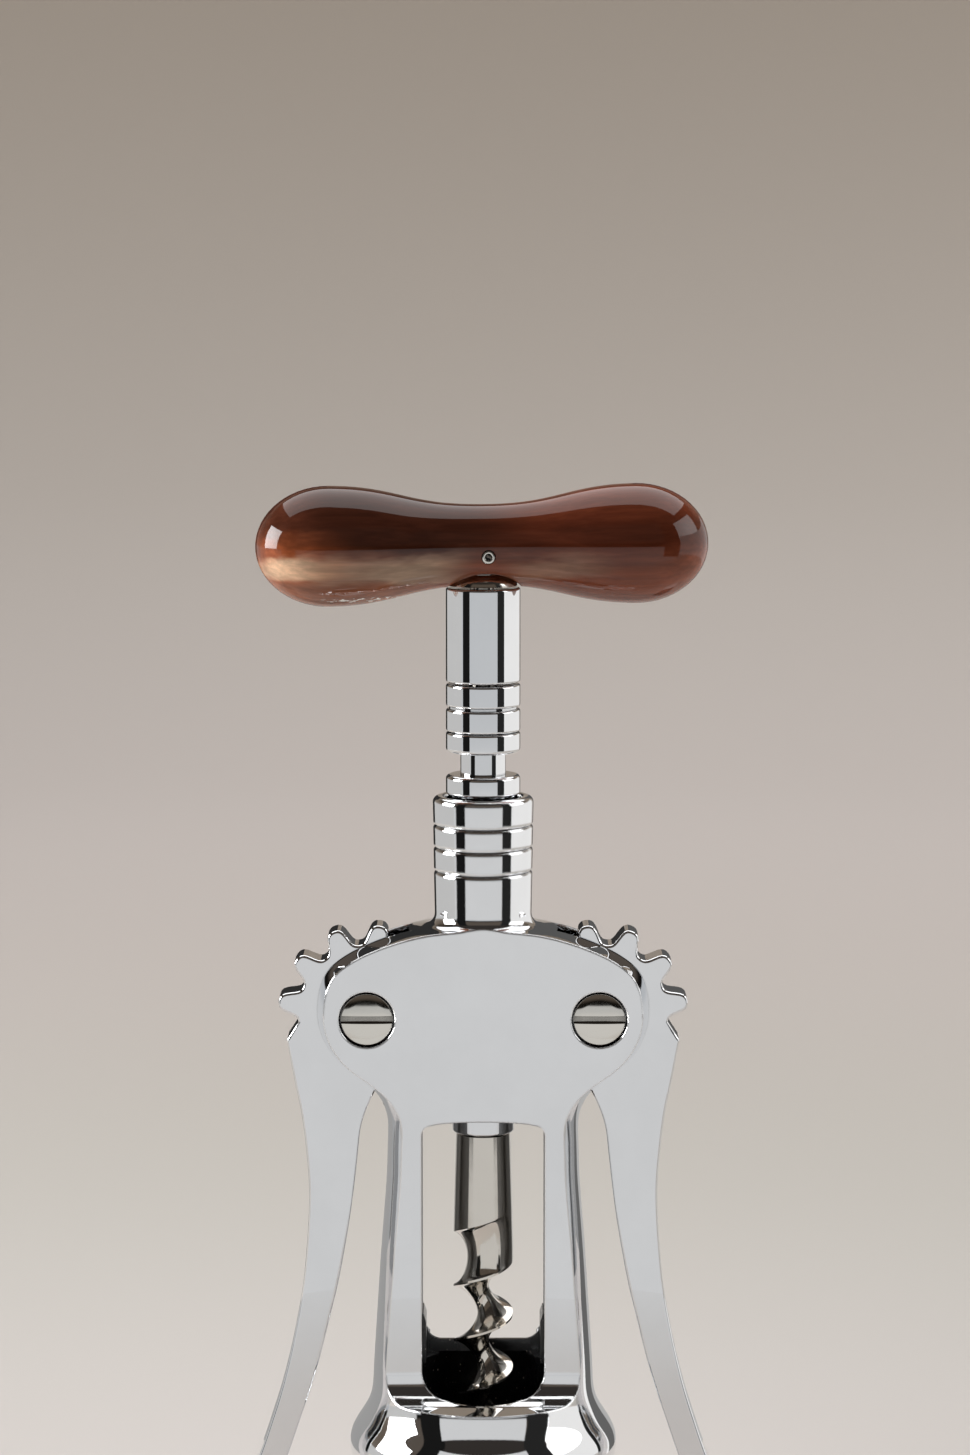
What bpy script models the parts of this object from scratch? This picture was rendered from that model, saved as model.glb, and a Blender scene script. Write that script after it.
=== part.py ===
"""A wing corkscrew with a horn handle, modelled in metres with +Z up.

The origin is on the spindle's axis, in the plane of the bell's rim, which is what the part stands on.
The two wings swing about Y on slotted screws, their teeth turn the ring rack's slide into that swing,
and the handle, stem and worm turn together inside the rack.
"""
import bpy
import bmesh
from math import atan2, cos, hypot, pi, radians, sin, tanh
from mathutils import Matrix, Vector

# Clearances
GAP = 0.0003
OVERRUN = 0.010

# Gear pair: each wing's toothed sector and the rack between them
PIVOT_OFFSET = 0.0184
PIVOT_HEIGHT = 0.1023
TEETH_PER_TURN = 12
PITCH_RADIUS = 0.0133
TIP_RADIUS = 0.0143
ROOT_RADIUS = 0.0111
FIRST_TOOTH_ANGLE = radians(-8)
TOOTH_COUNT = 7
TOOTH_SQUARENESS = 1.5
TOOTH_PITCH = 2 * pi * PITCH_RADIUS / TEETH_PER_TURN

# Wings
WING_THICKNESS = 0.0062
WING_EDGE_ROUND = 0.0007
ARM_LENGTH = 0.0925
ARM_ROOT_WIDTH = 0.0126
SHOULDER_RADIUS = 0.0136
SHOULDER_ANGLE = radians(198)
NOTCH_RADIUS = 0.0113
NOTCH_ANGLE = radians(191)
SHOULDER_ROUND = 0.0008
# Each row: depth below the pivot and offset outward, both shares of ARM_LENGTH,
# then width, a share of ARM_ROOT_WIDTH
ARM_SHARES = (
    (0.134, 0.055, 1.000), (0.157, 0.058, 0.873), (0.195, 0.062, 0.730), (0.241, 0.062, 0.655),
    (0.299, 0.063, 0.575), (0.350, 0.0665, 0.532), (0.410, 0.0735, 0.488), (0.477, 0.083, 0.444),
    (0.535, 0.095, 0.413), (0.602, 0.110, 0.393), (0.666, 0.1275, 0.373), (0.720, 0.145, 0.366),
    (0.774, 0.163, 0.366), (0.843, 0.190, 0.378), (0.908, 0.219, 0.397), (0.955, 0.243, 0.420),
)

# Pivot screws
SCREW_HEAD_RADIUS = 0.00415
SCREW_HEAD_HEIGHT = 0.0022
SCREW_SHANK_RADIUS = 0.0025
SCREW_SLOT_WIDTH = 0.00125
SCREW_SLOT_DEPTH = 0.0009
SCREW_RECESS = 0.0002
SCREW_EDGE = 0.0003

# Ring rack
RACK_RADIUS = 0.0059
RACK_NECK_RADIUS = 0.0036
RACK_RING_WIDTH = 0.0034
RACK_RING_EDGE = 0.00045
RACK_TOP = 0.1549
RACK_LINE_HEIGHTS = (0.15115, 0.1473)
RACK_LINE_WIDTHS = (0.0007, 0.0004)
RACK_LINE_DEPTH = 0.0005
RACK_SPIGOT_RADIUS = 0.0049
RACK_BOTTOM = 0.0827

# Stem, ferrule and handle
STEM_RADIUS = 0.0020
STEM_NECK_RADIUS = 0.0030
STEM_SHOULDER_RADIUS = 0.0054
STEM_SHOULDER_HEIGHT = 0.0018
FERRULE_TOP = 0.1702
FERRULE_EDGE = 0.0003
HANDLE_HEIGHT = 0.1769
HANDLE_HALF_LENGTH = 0.0360
HANDLE_WAIST_RADIUS = 0.0064
HANDLE_LOBE_RADIUS = 0.0095
HANDLE_TURN = radians(8)
HANDLE_DIMPLE_DEPTH = 0.0028
HANDLE_DIMPLE_RADIUS = 0.0062
STEM_TOP_COVER = 0.0030
PIN_RADIUS = 0.00105
PIN_BORE_RADIUS = 0.00055
PIN_DROP = 0.0015
# Each row: distance from the middle, a share of HANDLE_HALF_LENGTH,
# then the share of the way from waist to lobe radius
HANDLE_SHARES = (
    (0.00, 0.00), (0.10, 0.025), (0.20, 0.13), (0.30, 0.34), (0.40, 0.62),
    (0.50, 0.85), (0.60, 0.975), (0.68, 1.00),
)

# Worm
SHANK_TOP_RADIUS = 0.0043
SHANK_END_RADIUS = 0.00465
SHANK_END = 0.0700
FLUTE_RUN = 0.0063
FLUTE_SQUARENESS = 0.55
WORM_RADIUS = 0.0048
WORM_CORE_RADIUS = 0.0009
WORM_LAND = radians(18)
WORM_PITCH = 0.0090
WORM_TIP = 0.0165
WORM_TAPER = 0.0100
WORM_CREST_ANGLE = radians(180)
WORM_CREST_HEIGHT = 0.0571
STEM_SOCKET_DEPTH = 0.0100

# Frame: collar, head, columns and bell
COLLAR_RADIUS = 0.0080
COLLAR_TOP = 0.1370
COLLAR_TAPER = 0.0003
COLLAR_EDGE = 0.0010
COLLAR_LINE_HEIGHTS = (0.1324, 0.1288, 0.1250)
COLLAR_LINE_DEPTH = 0.00035
COLLAR_BASE = 0.1162
COLLAR_FILLET = 0.0020
HEAD_RADIUS = 0.0266
WAIST_RADIUS = 0.0152
WAIST_HEIGHT = 0.0845
FLAT_DEPTH = 0.0083
COVE_RADIUS = 0.0046
SHELF_HEIGHT = 0.0406
SHELF_RADIUS = 0.0178
SHOULDER_BEAD_RADIUS = 0.0217
SHOULDER_BEAD_HEIGHT = 0.0320
BELL_RADIUS = 0.0208
BELL_RIM_RADIUS = 0.0214
BELL_RIM_HEIGHT = 0.0040
BELL_EDGE = 0.0008
# Each row: share of HEAD_RADIUS, then height above the waist as a share of the head's height
HEAD_SHARES = (
    (0.470, 0.984), (0.628, 0.940), (0.774, 0.886), (0.865, 0.839), (0.940, 0.785), (0.977, 0.719),
    (1.000, 0.615), (0.992, 0.498), (0.940, 0.391), (0.865, 0.312), (0.774, 0.252), (0.711, 0.211),
    (0.650, 0.162), (0.612, 0.110), (0.583, 0.055),
)
# Each row: share of the way from waist to shelf radius, then share of the way down
COLUMN_SHARES = ((0.05, 0.10), (0.12, 0.22), (0.46, 0.48), (0.77, 0.76), (0.92, 0.90))
# Each row: share of the way from shelf to bead radius, then share of the way down
FLARE_SHARES = ((0.12, 0.22), (0.36, 0.43), (0.66, 0.62), (0.90, 0.82))

# Window, bores and wing slots
WINDOW_HALF_WIDTH = 0.0098
WINDOW_TOP = 0.0851
WINDOW_ARCH = 0.0007
WINDOW_BOTTOM = 0.0465
WINDOW_TOP_ROUND = 0.0016
WINDOW_BOTTOM_ROUND = 0.0040
MOUTH_BOTTOM = 0.0412
NECK_BORE_RADIUS = 0.0120
BELL_BORE_RADIUS = 0.0175
BELL_BORE_TOP = 0.0190
NECK_BORE_BOTTOM = 0.0290
NECK_BORE_TOP = 0.0535
SLOT_TIP_CLEARANCE = 0.0007
SLOT_INNER_EDGE = 0.0165
SLOT_BOTTOM = 0.0800

# Bell liner
LINER_BORE_RADIUS = 0.0100
LINER_MOUTH_RADIUS = 0.0155
LINER_SEAT_HEIGHT = 0.0140
LINER_FRONT_TOP = 0.0400
LINER_RIM_HEIGHT = 0.0442
LINER_BACK_TOP = 0.0462
LINER_BACK_BORE_RADIUS = 0.0106
LINER_FOOT = 0.0008

# Facets
TURN_SIDES = 42
HANDLE_SIDES = 24
SMALL_SIDES = 22
FINE_SIDES = 12
WORM_SIDES = 16
WORM_STEPS_PER_TURN = 13
TOOTH_STEPS = 10


def clear_scene():
    for item in list(bpy.data.objects):
        bpy.data.objects.remove(item, do_unlink=True)


def material(name, colour, metallic, roughness):
    item = bpy.data.materials.new(name)
    item.use_nodes = True
    shader = item.node_tree.nodes["Principled BSDF"]
    shader.inputs["Base Color"].default_value = (*colour, 1)
    shader.inputs["Metallic"].default_value = metallic
    shader.inputs["Roughness"].default_value = roughness
    item.diffuse_color = (*colour, 1)
    return item


def finish(name, bm, surface=None, origin=(0, 0, 0)):
    """Turn a bmesh into an object whose origin is at the given place."""
    bmesh.ops.remove_doubles(bm, verts=bm.verts, dist=GAP / 1000)
    bmesh.ops.recalc_face_normals(bm, faces=bm.faces)
    if bm.calc_volume(signed=True) < 0:
        bmesh.ops.reverse_faces(bm, faces=bm.faces)
    bm.transform(Matrix.Translation(-Vector(origin)))
    mesh = bpy.data.meshes.new(name)
    bm.to_mesh(mesh)
    bm.free()
    mesh.shade_smooth()
    mesh.set_sharp_from_angle(angle=radians(30))
    item = bpy.data.objects.new(name, mesh)
    item.location = origin
    bpy.context.scene.collection.objects.link(item)
    if surface:
        mesh.materials.append(surface)
    return item


def rounded(corners, steps=4):
    """A closed outline from corners (x, y, radius), with arcs at the rounded ones."""
    outline = []
    count = len(corners)
    for index, (x, y, radius) in enumerate(corners):
        corner = Vector((x, y))
        if not radius:
            outline.append((x, y))
            continue
        before = (Vector(corners[index - 1][:2]) - corner).normalized()
        after = (Vector(corners[(index + 1) % count][:2]) - corner).normalized()
        half = before.angle(after) / 2
        middle = corner + (before + after).normalized() * radius / sin(half)
        start = corner + before * radius / abs(sin(half) / cos(half)) - middle
        end = corner + after * radius / abs(sin(half) / cos(half)) - middle
        turn = atan2(start.cross(end), start.dot(end))
        for step in range(steps + 1):
            arm = start.copy()
            arm.rotate(Matrix.Rotation(turn * step / steps, 2))
            outline.append(tuple(middle + arm))
    return outline


def turned(name, outline, surface=None, sides=TURN_SIDES, origin=(0, 0, 0), turn=None):
    """Turn a closed outline of (radius, height) about Z; turn then places the solid."""
    bm = bmesh.new()
    rings = []
    for radius, height in outline:
        if radius < GAP / 100:
            rings.append([bm.verts.new((0, 0, height))] * sides)
        else:
            rings.append([
                bm.verts.new((radius * cos(2 * pi * k / sides), radius * sin(2 * pi * k / sides), height))
                for k in range(sides)])
    for lower, upper in zip(rings, rings[1:] + rings[:1]):
        for k in range(sides):
            corners = (lower[k], lower[k - 1], upper[k - 1], upper[k])
            different = list(dict.fromkeys(corners))
            if len(different) > 2:
                bm.faces.new(different)
    if turn:
        bm.transform(turn)
    return finish(name, bm, surface, origin)


def extruded(name, outline, depth_low, depth_high, axis="Y"):
    """A straight prism of an outline in XZ along Y, or of one in YZ along X."""
    bm = bmesh.new()
    place = (lambda a, b, d: (a, d, b)) if axis == "Y" else (lambda a, b, d: (d, a, b))
    low = [bm.verts.new(place(a, b, depth_low)) for a, b in outline]
    high = [bm.verts.new(place(a, b, depth_high)) for a, b in outline]
    bm.faces.new(low)
    bm.faces.new(high)
    for k in range(len(outline)):
        bm.faces.new((low[k], low[k - 1], high[k - 1], high[k]))
    return finish(name, bm)


def cut(item, cutter, operation="DIFFERENCE"):
    """Cut one object by another, which stays as a hidden wire guide."""
    cutter.hide_render = True
    cutter.display_type = "WIRE"
    step = item.modifiers.new(cutter.name, "BOOLEAN")
    step.operation = operation
    step.solver = "EXACT"
    step.object = cutter


def along_y(x, z):
    """Place a solid turned about Z on an axis along Y at x, z, with its top towards the back."""
    return Matrix.Translation((x, 0, z)) @ Matrix.Rotation(-pi / 2, 4, "X")


def groove_heights():
    """The rack's grooves, one for each tooth of a wing."""
    pitch_angle = 2 * pi / TEETH_PER_TURN
    return [PIVOT_HEIGHT + PITCH_RADIUS * (FIRST_TOOTH_ANGLE + k * pitch_angle) for k in range(TOOTH_COUNT)]


def head_profile():
    height = COLLAR_BASE - WAIST_HEIGHT
    return [(HEAD_RADIUS * r, WAIST_HEIGHT + height * z) for r, z in HEAD_SHARES]


def blend_profile(shares, top, bottom):
    """Points between a top and a bottom (radius, height), by shares of the way."""
    return [(top[0] + (bottom[0] - top[0]) * r, top[1] + (bottom[1] - top[1]) * z) for r, z in shares]


def frame_outline():
    """The frame's whole profile: down its outside from the collar, then up the bell's and spindle's bores."""
    spindle = RACK_RADIUS + GAP
    collar = [(COLLAR_RADIUS - COLLAR_EDGE, COLLAR_TOP)]
    collar += [
        (COLLAR_RADIUS - COLLAR_EDGE * (1 - sin(a)), COLLAR_TOP - COLLAR_EDGE * (1 - cos(a)))
        for a in (radians(d) for d in (25, 50, 90))]
    run = COLLAR_TOP - COLLAR_BASE
    for height in COLLAR_LINE_HEIGHTS:
        radius = COLLAR_RADIUS - COLLAR_TAPER * (COLLAR_TOP - height) / run
        low = radius - COLLAR_LINE_DEPTH
        collar += [
            (radius, height + COLLAR_LINE_DEPTH), (low, height + COLLAR_LINE_DEPTH / 3),
            (low, height - COLLAR_LINE_DEPTH / 3), (radius, height - COLLAR_LINE_DEPTH)]
    foot = COLLAR_RADIUS - COLLAR_TAPER
    collar += [
        (foot + COLLAR_FILLET * (1 - cos(a)), COLLAR_BASE + COLLAR_FILLET * (1 - sin(a)))
        for a in (radians(d) for d in (0, 30, 60, 80))]
    waist = (WAIST_RADIUS, WAIST_HEIGHT)
    shelf = (SHELF_RADIUS, SHELF_HEIGHT - GAP)
    bead = (SHOULDER_BEAD_RADIUS, SHOULDER_BEAD_HEIGHT)
    flank = [
        *head_profile(), waist, *blend_profile(COLUMN_SHARES, waist, shelf), shelf,
        *blend_profile(FLARE_SHARES, shelf, bead), bead]
    bead_drop = SHOULDER_BEAD_RADIUS - BELL_RADIUS
    bell = [
        (SHOULDER_BEAD_RADIUS - bead_drop / 3, SHOULDER_BEAD_HEIGHT - 2 * bead_drop),
        (BELL_RADIUS, SHOULDER_BEAD_HEIGHT - 5 * bead_drop),
        (BELL_RADIUS, BELL_RIM_HEIGHT + 2 * BELL_EDGE), (BELL_RIM_RADIUS, BELL_RIM_HEIGHT),
        (BELL_RIM_RADIUS, BELL_EDGE), (BELL_RIM_RADIUS - BELL_EDGE, 0)]
    bores = [
        (BELL_BORE_RADIUS, 0), (BELL_BORE_RADIUS, BELL_BORE_TOP), (NECK_BORE_RADIUS, NECK_BORE_BOTTOM),
        (NECK_BORE_RADIUS, NECK_BORE_TOP), (spindle, NECK_BORE_TOP), (spindle, COLLAR_TOP)]
    return [*collar, *flank, *bell, *bores]


def flat_cutter(name, side):
    """Cuts one flat with its cove and shelf; side is -1 for the front and 1 for the back."""
    outer = HEAD_RADIUS + OVERRUN
    top = COLLAR_TOP + OVERRUN
    outline = rounded([
        (side * FLAT_DEPTH, top, 0), (side * FLAT_DEPTH, SHELF_HEIGHT, COVE_RADIUS),
        (side * outer, SHELF_HEIGHT, 0), (side * outer, top, 0)], steps=6)
    return extruded(name, outline, -outer, outer, axis="X")


def window_cutter():
    """The window, with a slightly arched top."""
    half = WINDOW_HALF_WIDTH
    flat = half - WINDOW_TOP_ROUND
    arch = [
        (flat * cos(a), WINDOW_TOP + WINDOW_ARCH * sin(a), 0)
        for a in (radians(30 * k) for k in range(1, 6))]
    outline = rounded([
        (-half, WINDOW_BOTTOM, WINDOW_BOTTOM_ROUND), (half, WINDOW_BOTTOM, WINDOW_BOTTOM_ROUND),
        (half, WINDOW_TOP, WINDOW_TOP_ROUND), *arch, (-half, WINDOW_TOP, WINDOW_TOP_ROUND)])
    return extruded("window_cutter", outline, -HEAD_RADIUS, HEAD_RADIUS)


def mouth_cutter():
    """Opens the window's foot down the cove at the front, where the worm shows inside the bell."""
    half = WINDOW_HALF_WIDTH - GAP / 10
    middle = (WINDOW_TOP + WINDOW_BOTTOM) / 2
    outline = rounded([
        (-half, MOUTH_BOTTOM, WINDOW_BOTTOM_ROUND), (half, MOUTH_BOTTOM, WINDOW_BOTTOM_ROUND),
        (half, middle, 0), (-half, middle, 0)])
    return extruded("mouth_cutter", outline, -NECK_BORE_RADIUS, 0)


def slot_cutter(name, side):
    """The slot that a wing swings in: round its teeth, and open to the outside."""
    radius = TIP_RADIUS + SLOT_TIP_CLEARANCE
    half = WING_THICKNESS / 2 + GAP
    far = HEAD_RADIUS + OVERRUN
    top = COLLAR_BASE + OVERRUN
    start = radians(-90) + (PIVOT_OFFSET - SLOT_INNER_EDGE) / radius
    arc = [
        (side * (PIVOT_OFFSET - radius * cos(start + turn)), PIVOT_HEIGHT + radius * sin(start + turn))
        for turn in (radians(6 * k) for k in range(30))]
    outline = [
        (side * SLOT_INNER_EDGE, SLOT_BOTTOM), *arc, (side * PIVOT_OFFSET, top), (side * far, top),
        (side * far, SLOT_BOTTOM)]
    return extruded(name, outline, -half, half)


def screw_hole_cutter(name, side):
    """A through hole with a counterbore for the head at the front."""
    hole = SCREW_SHANK_RADIUS + GAP
    head = SCREW_HEAD_RADIUS + GAP
    floor = -FLAT_DEPTH + SCREW_RECESS + SCREW_HEAD_HEIGHT + GAP
    outline = [
        (0, FLAT_DEPTH + OVERRUN), (hole, FLAT_DEPTH + OVERRUN), (hole, floor), (head, floor),
        (head, -FLAT_DEPTH - OVERRUN), (0, -FLAT_DEPTH - OVERRUN)]
    return turned(name, outline, sides=SMALL_SIDES, turn=along_y(side * PIVOT_OFFSET, PIVOT_HEIGHT))


def make_frame(surface):
    frame = turned("frame", frame_outline(), surface)
    cut(frame, flat_cutter("front_flat_cutter", -1))
    cut(frame, flat_cutter("back_flat_cutter", 1))
    cut(frame, window_cutter())
    cut(frame, mouth_cutter())
    for name, side in (("left", -1), ("right", 1)):
        cut(frame, slot_cutter(name + "_slot_cutter", side))
        cut(frame, screw_hole_cutter(name + "_screw_cutter", side))
    return frame


def make_liner(surface):
    """The black liner that guides the worm and seats the bottle's lip, cut away where the window opens."""
    outer = BELL_BORE_RADIUS - GAP
    neck = NECK_BORE_RADIUS - GAP
    rise = (LINER_MOUTH_RADIUS - LINER_BORE_RADIUS) / 2
    outline = [
        (neck, LINER_BACK_TOP), (neck, NECK_BORE_BOTTOM - GAP), (outer, BELL_BORE_TOP - GAP),
        (outer, LINER_FOOT), (LINER_MOUTH_RADIUS, LINER_FOOT), (LINER_MOUTH_RADIUS, LINER_SEAT_HEIGHT),
        (LINER_BORE_RADIUS, LINER_SEAT_HEIGHT + rise), (LINER_BORE_RADIUS, LINER_RIM_HEIGHT),
        (LINER_BACK_BORE_RADIUS, LINER_RIM_HEIGHT), (LINER_BACK_BORE_RADIUS, LINER_BACK_TOP)]
    liner = turned("bell_liner", outline, surface)
    far = HEAD_RADIUS
    front = [(-far, LINER_FRONT_TOP), (far, LINER_FRONT_TOP), (far, WINDOW_TOP), (-far, WINDOW_TOP)]
    cut(liner, extruded("bell_liner_front_cutter", front, -far, -GAP))
    return liner


def tooth_radius(angle):
    """The sector's outline in polar form: round-tipped teeth on the pitch, then the root circle."""
    middle = (TIP_RADIUS + ROOT_RADIUS) / 2
    half = (TIP_RADIUS - ROOT_RADIUS) / 2
    wave = cos(TEETH_PER_TURN * (angle - FIRST_TOOTH_ANGLE))
    return middle + half * tanh(TOOTH_SQUARENESS * wave) / tanh(TOOTH_SQUARENESS)


def wing_outline(side):
    """The wing's closed outline about its pivot, in the XZ plane."""
    half_pitch = pi / TEETH_PER_TURN
    first = FIRST_TOOTH_ANGLE - half_pitch
    last = first + 2 * half_pitch * TOOTH_COUNT
    steps = TOOTH_COUNT * TOOTH_STEPS
    teeth = []
    for k in range(steps + 1):
        angle = first + (last - first) * k / steps
        teeth.append((-tooth_radius(angle) * cos(angle), tooth_radius(angle) * sin(angle)))
    rows = [(-ARM_LENGTH * d, ARM_LENGTH * c, ARM_ROOT_WIDTH * w / 2) for d, c, w in ARM_SHARES]
    inner = [(c - w, z) for z, c, w in rows]
    outer = [(c + w, z) for z, c, w in rows]
    end_z, end_c, end_w = rows[-1]
    back_z, back_c, back_w = rows[-2]
    lean = atan2(end_c - back_c, back_z - end_z)
    end = [
        (end_c + end_w * cos(a - lean * sin(a)), end_z + end_w * sin(a - lean * sin(a)))
        for a in (radians(-180 + 22.5 * k) for k in range(1, 8))]
    hub = [
        (-ROOT_RADIUS * cos(a), ROOT_RADIUS * sin(a))
        for a in (first - radians(7) * k for k in range(8, 0, -1))]
    notch = (-NOTCH_RADIUS * cos(NOTCH_ANGLE), NOTCH_RADIUS * sin(NOTCH_ANGLE))
    shoulder = (-SHOULDER_RADIUS * cos(SHOULDER_ANGLE), SHOULDER_RADIUS * sin(SHOULDER_ANGLE))
    corner = rounded([(*notch, 0), (*shoulder, SHOULDER_ROUND), (*outer[0], 0)])[1:-1]
    path = [*teeth, *corner, *outer, *reversed(end), *reversed(inner), *hub]
    return [(side * x, z) for x, z in path]


def inset(outline, amount):
    """The outline moved into its own area by an amount, along each point's normal."""
    area = sum(a[0] * b[1] - b[0] * a[1] for a, b in zip(outline, outline[1:] + outline[:1]))
    turn = 1 if area > 0 else -1
    moved = []
    for k, (x, z) in enumerate(outline):
        before = outline[k - 1]
        after = outline[(k + 1) % len(outline)]
        dx, dz = after[0] - before[0], after[1] - before[1]
        length = hypot(dx, dz)
        moved.append((x - turn * amount * dz / length, z + turn * amount * dx / length))
    return moved


def make_wing(name, side, surface):
    """A flat steel wing with rounded edges, toothed round its pivot hole."""
    outline = wing_outline(side)
    half = WING_THICKNESS / 2
    edge = WING_EDGE_ROUND
    layers = [(-half, edge), (-half + edge, 0), (half - edge, 0), (half, edge)]
    bm = bmesh.new()
    loops = [
        [bm.verts.new((side * PIVOT_OFFSET + x, y, PIVOT_HEIGHT + z)) for x, z in inset(outline, amount)]
        for y, amount in layers]
    for low, high in zip(loops, loops[1:]):
        for k in range(len(low)):
            bm.faces.new((low[k], low[k - 1], high[k - 1], high[k]))
    bm.faces.new(loops[0])
    bm.faces.new(loops[-1])
    wing = finish(name, bm, surface, origin=(side * PIVOT_OFFSET, 0, PIVOT_HEIGHT))
    hole = SCREW_SHANK_RADIUS + GAP
    reach = WING_THICKNESS
    outline = [(0, reach), (hole, reach), (hole, -reach), (0, -reach)]
    place = along_y(side * PIVOT_OFFSET, PIVOT_HEIGHT)
    cut(wing, turned(name + "_hole_cutter", outline, sides=SMALL_SIDES, turn=place))
    return wing


def make_screw(name, side, surface):
    """A slotted screw: a flush head at the front and a plain shank to the back flat."""
    front = -FLAT_DEPTH + SCREW_RECESS
    under = front + SCREW_HEAD_HEIGHT
    back = FLAT_DEPTH - SCREW_RECESS
    outline = [
        (0, back), (SCREW_SHANK_RADIUS - SCREW_EDGE, back), (SCREW_SHANK_RADIUS, back - SCREW_EDGE),
        (SCREW_SHANK_RADIUS, under), (SCREW_HEAD_RADIUS, under), (SCREW_HEAD_RADIUS, front + SCREW_EDGE),
        (SCREW_HEAD_RADIUS - SCREW_EDGE, front), (0, front)]
    place = along_y(side * PIVOT_OFFSET, PIVOT_HEIGHT)
    screw = turned(name, outline, surface, sides=SMALL_SIDES, turn=place)
    half = SCREW_SLOT_WIDTH / 2
    reach = SCREW_HEAD_RADIUS * 2
    x, z = side * PIVOT_OFFSET, PIVOT_HEIGHT
    slot = [(x - reach, z - half), (x + reach, z - half), (x + reach, z + half), (x - reach, z + half)]
    cut(screw, extruded(name + "_slot_cutter", slot, front - OVERRUN, front + SCREW_SLOT_DEPTH))
    return screw


def rack_outline():
    """Bands at the top, a groove for each tooth with a ring below it, and a plain spigot at the foot."""
    bore = STEM_RADIUS + GAP
    edge = RACK_RING_EDGE
    half_groove = (TOOTH_PITCH - RACK_RING_WIDTH) / 2
    outline = [(bore, RACK_TOP), (RACK_RADIUS - edge, RACK_TOP), (RACK_RADIUS, RACK_TOP - edge)]
    for height, width in zip(RACK_LINE_HEIGHTS, RACK_LINE_WIDTHS):
        low = RACK_RADIUS - RACK_LINE_DEPTH
        outline += [
            (RACK_RADIUS, height + width / 2), (low, height + width / 4),
            (low, height - width / 4), (RACK_RADIUS, height - width / 2)]
    for height in reversed(groove_heights()):
        outline += [
            (RACK_RADIUS, height + half_groove + edge), (RACK_RADIUS - edge, height + half_groove),
            (RACK_NECK_RADIUS, height + half_groove), (RACK_NECK_RADIUS, height - half_groove),
            (RACK_RADIUS - edge, height - half_groove), (RACK_RADIUS, height - half_groove - edge)]
    ring_bottom = groove_heights()[0] - half_groove - RACK_RING_WIDTH
    outline += [
        (RACK_RADIUS, ring_bottom + edge), (RACK_RADIUS - edge, ring_bottom),
        (RACK_SPIGOT_RADIUS, ring_bottom), (RACK_SPIGOT_RADIUS, RACK_BOTTOM + edge),
        (RACK_SPIGOT_RADIUS - edge, RACK_BOTTOM), (bore, RACK_BOTTOM)]
    return outline


def make_rack(surface):
    return turned("ring_rack", rack_outline(), surface, sides=SMALL_SIDES)


def make_ferrule(surface):
    bore = STEM_RADIUS + GAP
    bottom = RACK_TOP + GAP
    edge = FERRULE_EDGE
    outline = [
        (bore, FERRULE_TOP), (RACK_RADIUS - edge, FERRULE_TOP), (RACK_RADIUS, FERRULE_TOP - edge),
        (RACK_RADIUS, bottom + edge), (RACK_RADIUS - edge, bottom), (bore, bottom)]
    return turned("ferrule", outline, surface, sides=SMALL_SIDES)


def stem_top():
    return HANDLE_HEIGHT + HANDLE_WAIST_RADIUS - STEM_TOP_COVER


def make_stem(surface):
    """The rod that ties worm to handle, with a domed shoulder and a neck in the handle's recess."""
    dimple_top = FERRULE_TOP + HANDLE_DIMPLE_DEPTH
    neck_bottom = FERRULE_TOP + GAP
    bottom = RACK_BOTTOM - STEM_SOCKET_DEPTH
    reach = STEM_SHOULDER_RADIUS - STEM_NECK_RADIUS
    shoulder = [
        (STEM_NECK_RADIUS + reach * sin(a), neck_bottom + STEM_SHOULDER_HEIGHT * cos(a))
        for a in (radians(22.5 * k) for k in range(5))]
    outline = [
        (0, stem_top()), (STEM_RADIUS, stem_top()), (STEM_RADIUS, dimple_top),
        (STEM_NECK_RADIUS, dimple_top), *shoulder, (STEM_RADIUS, neck_bottom),
        (STEM_RADIUS, bottom), (0, bottom)]
    stem = turned("stem", outline, surface, sides=FINE_SIDES)
    cut(stem, pin_hole_cutter("stem_pin_cutter"))
    return stem


def pin_place():
    """The cross pin's axis: level, square to the handle, just below the handle's axis."""
    height = HANDLE_HEIGHT - PIN_DROP
    turn = Matrix.Rotation(HANDLE_TURN, 4, "Z")
    return Matrix.Translation((0, 0, height)) @ turn @ Matrix.Rotation(-pi / 2, 4, "X")


def pin_hole_cutter(name):
    hole = PIN_RADIUS + GAP
    reach = HANDLE_LOBE_RADIUS
    outline = [(0, reach), (hole, reach), (hole, -reach), (0, -reach)]
    return turned(name, outline, sides=FINE_SIDES, turn=pin_place())


def handle_outline():
    """The handle's half profile as (radius, distance along): waist, lobes and round ends."""
    grow = HANDLE_LOBE_RADIUS - HANDLE_WAIST_RADIUS
    side = [(HANDLE_WAIST_RADIUS + grow * g, HANDLE_HALF_LENGTH * d) for d, g in HANDLE_SHARES]
    cap_start = side[-1][1]
    cap = HANDLE_HALF_LENGTH - cap_start
    end = [
        (HANDLE_LOBE_RADIUS * cos(a), cap_start + cap * sin(a))
        for a in (radians(15 * k) for k in range(1, 6))]
    half = [*side, *end, (0, HANDLE_HALF_LENGTH)]
    return [*((r, -d) for r, d in reversed(half)), *half[1:]]


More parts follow.
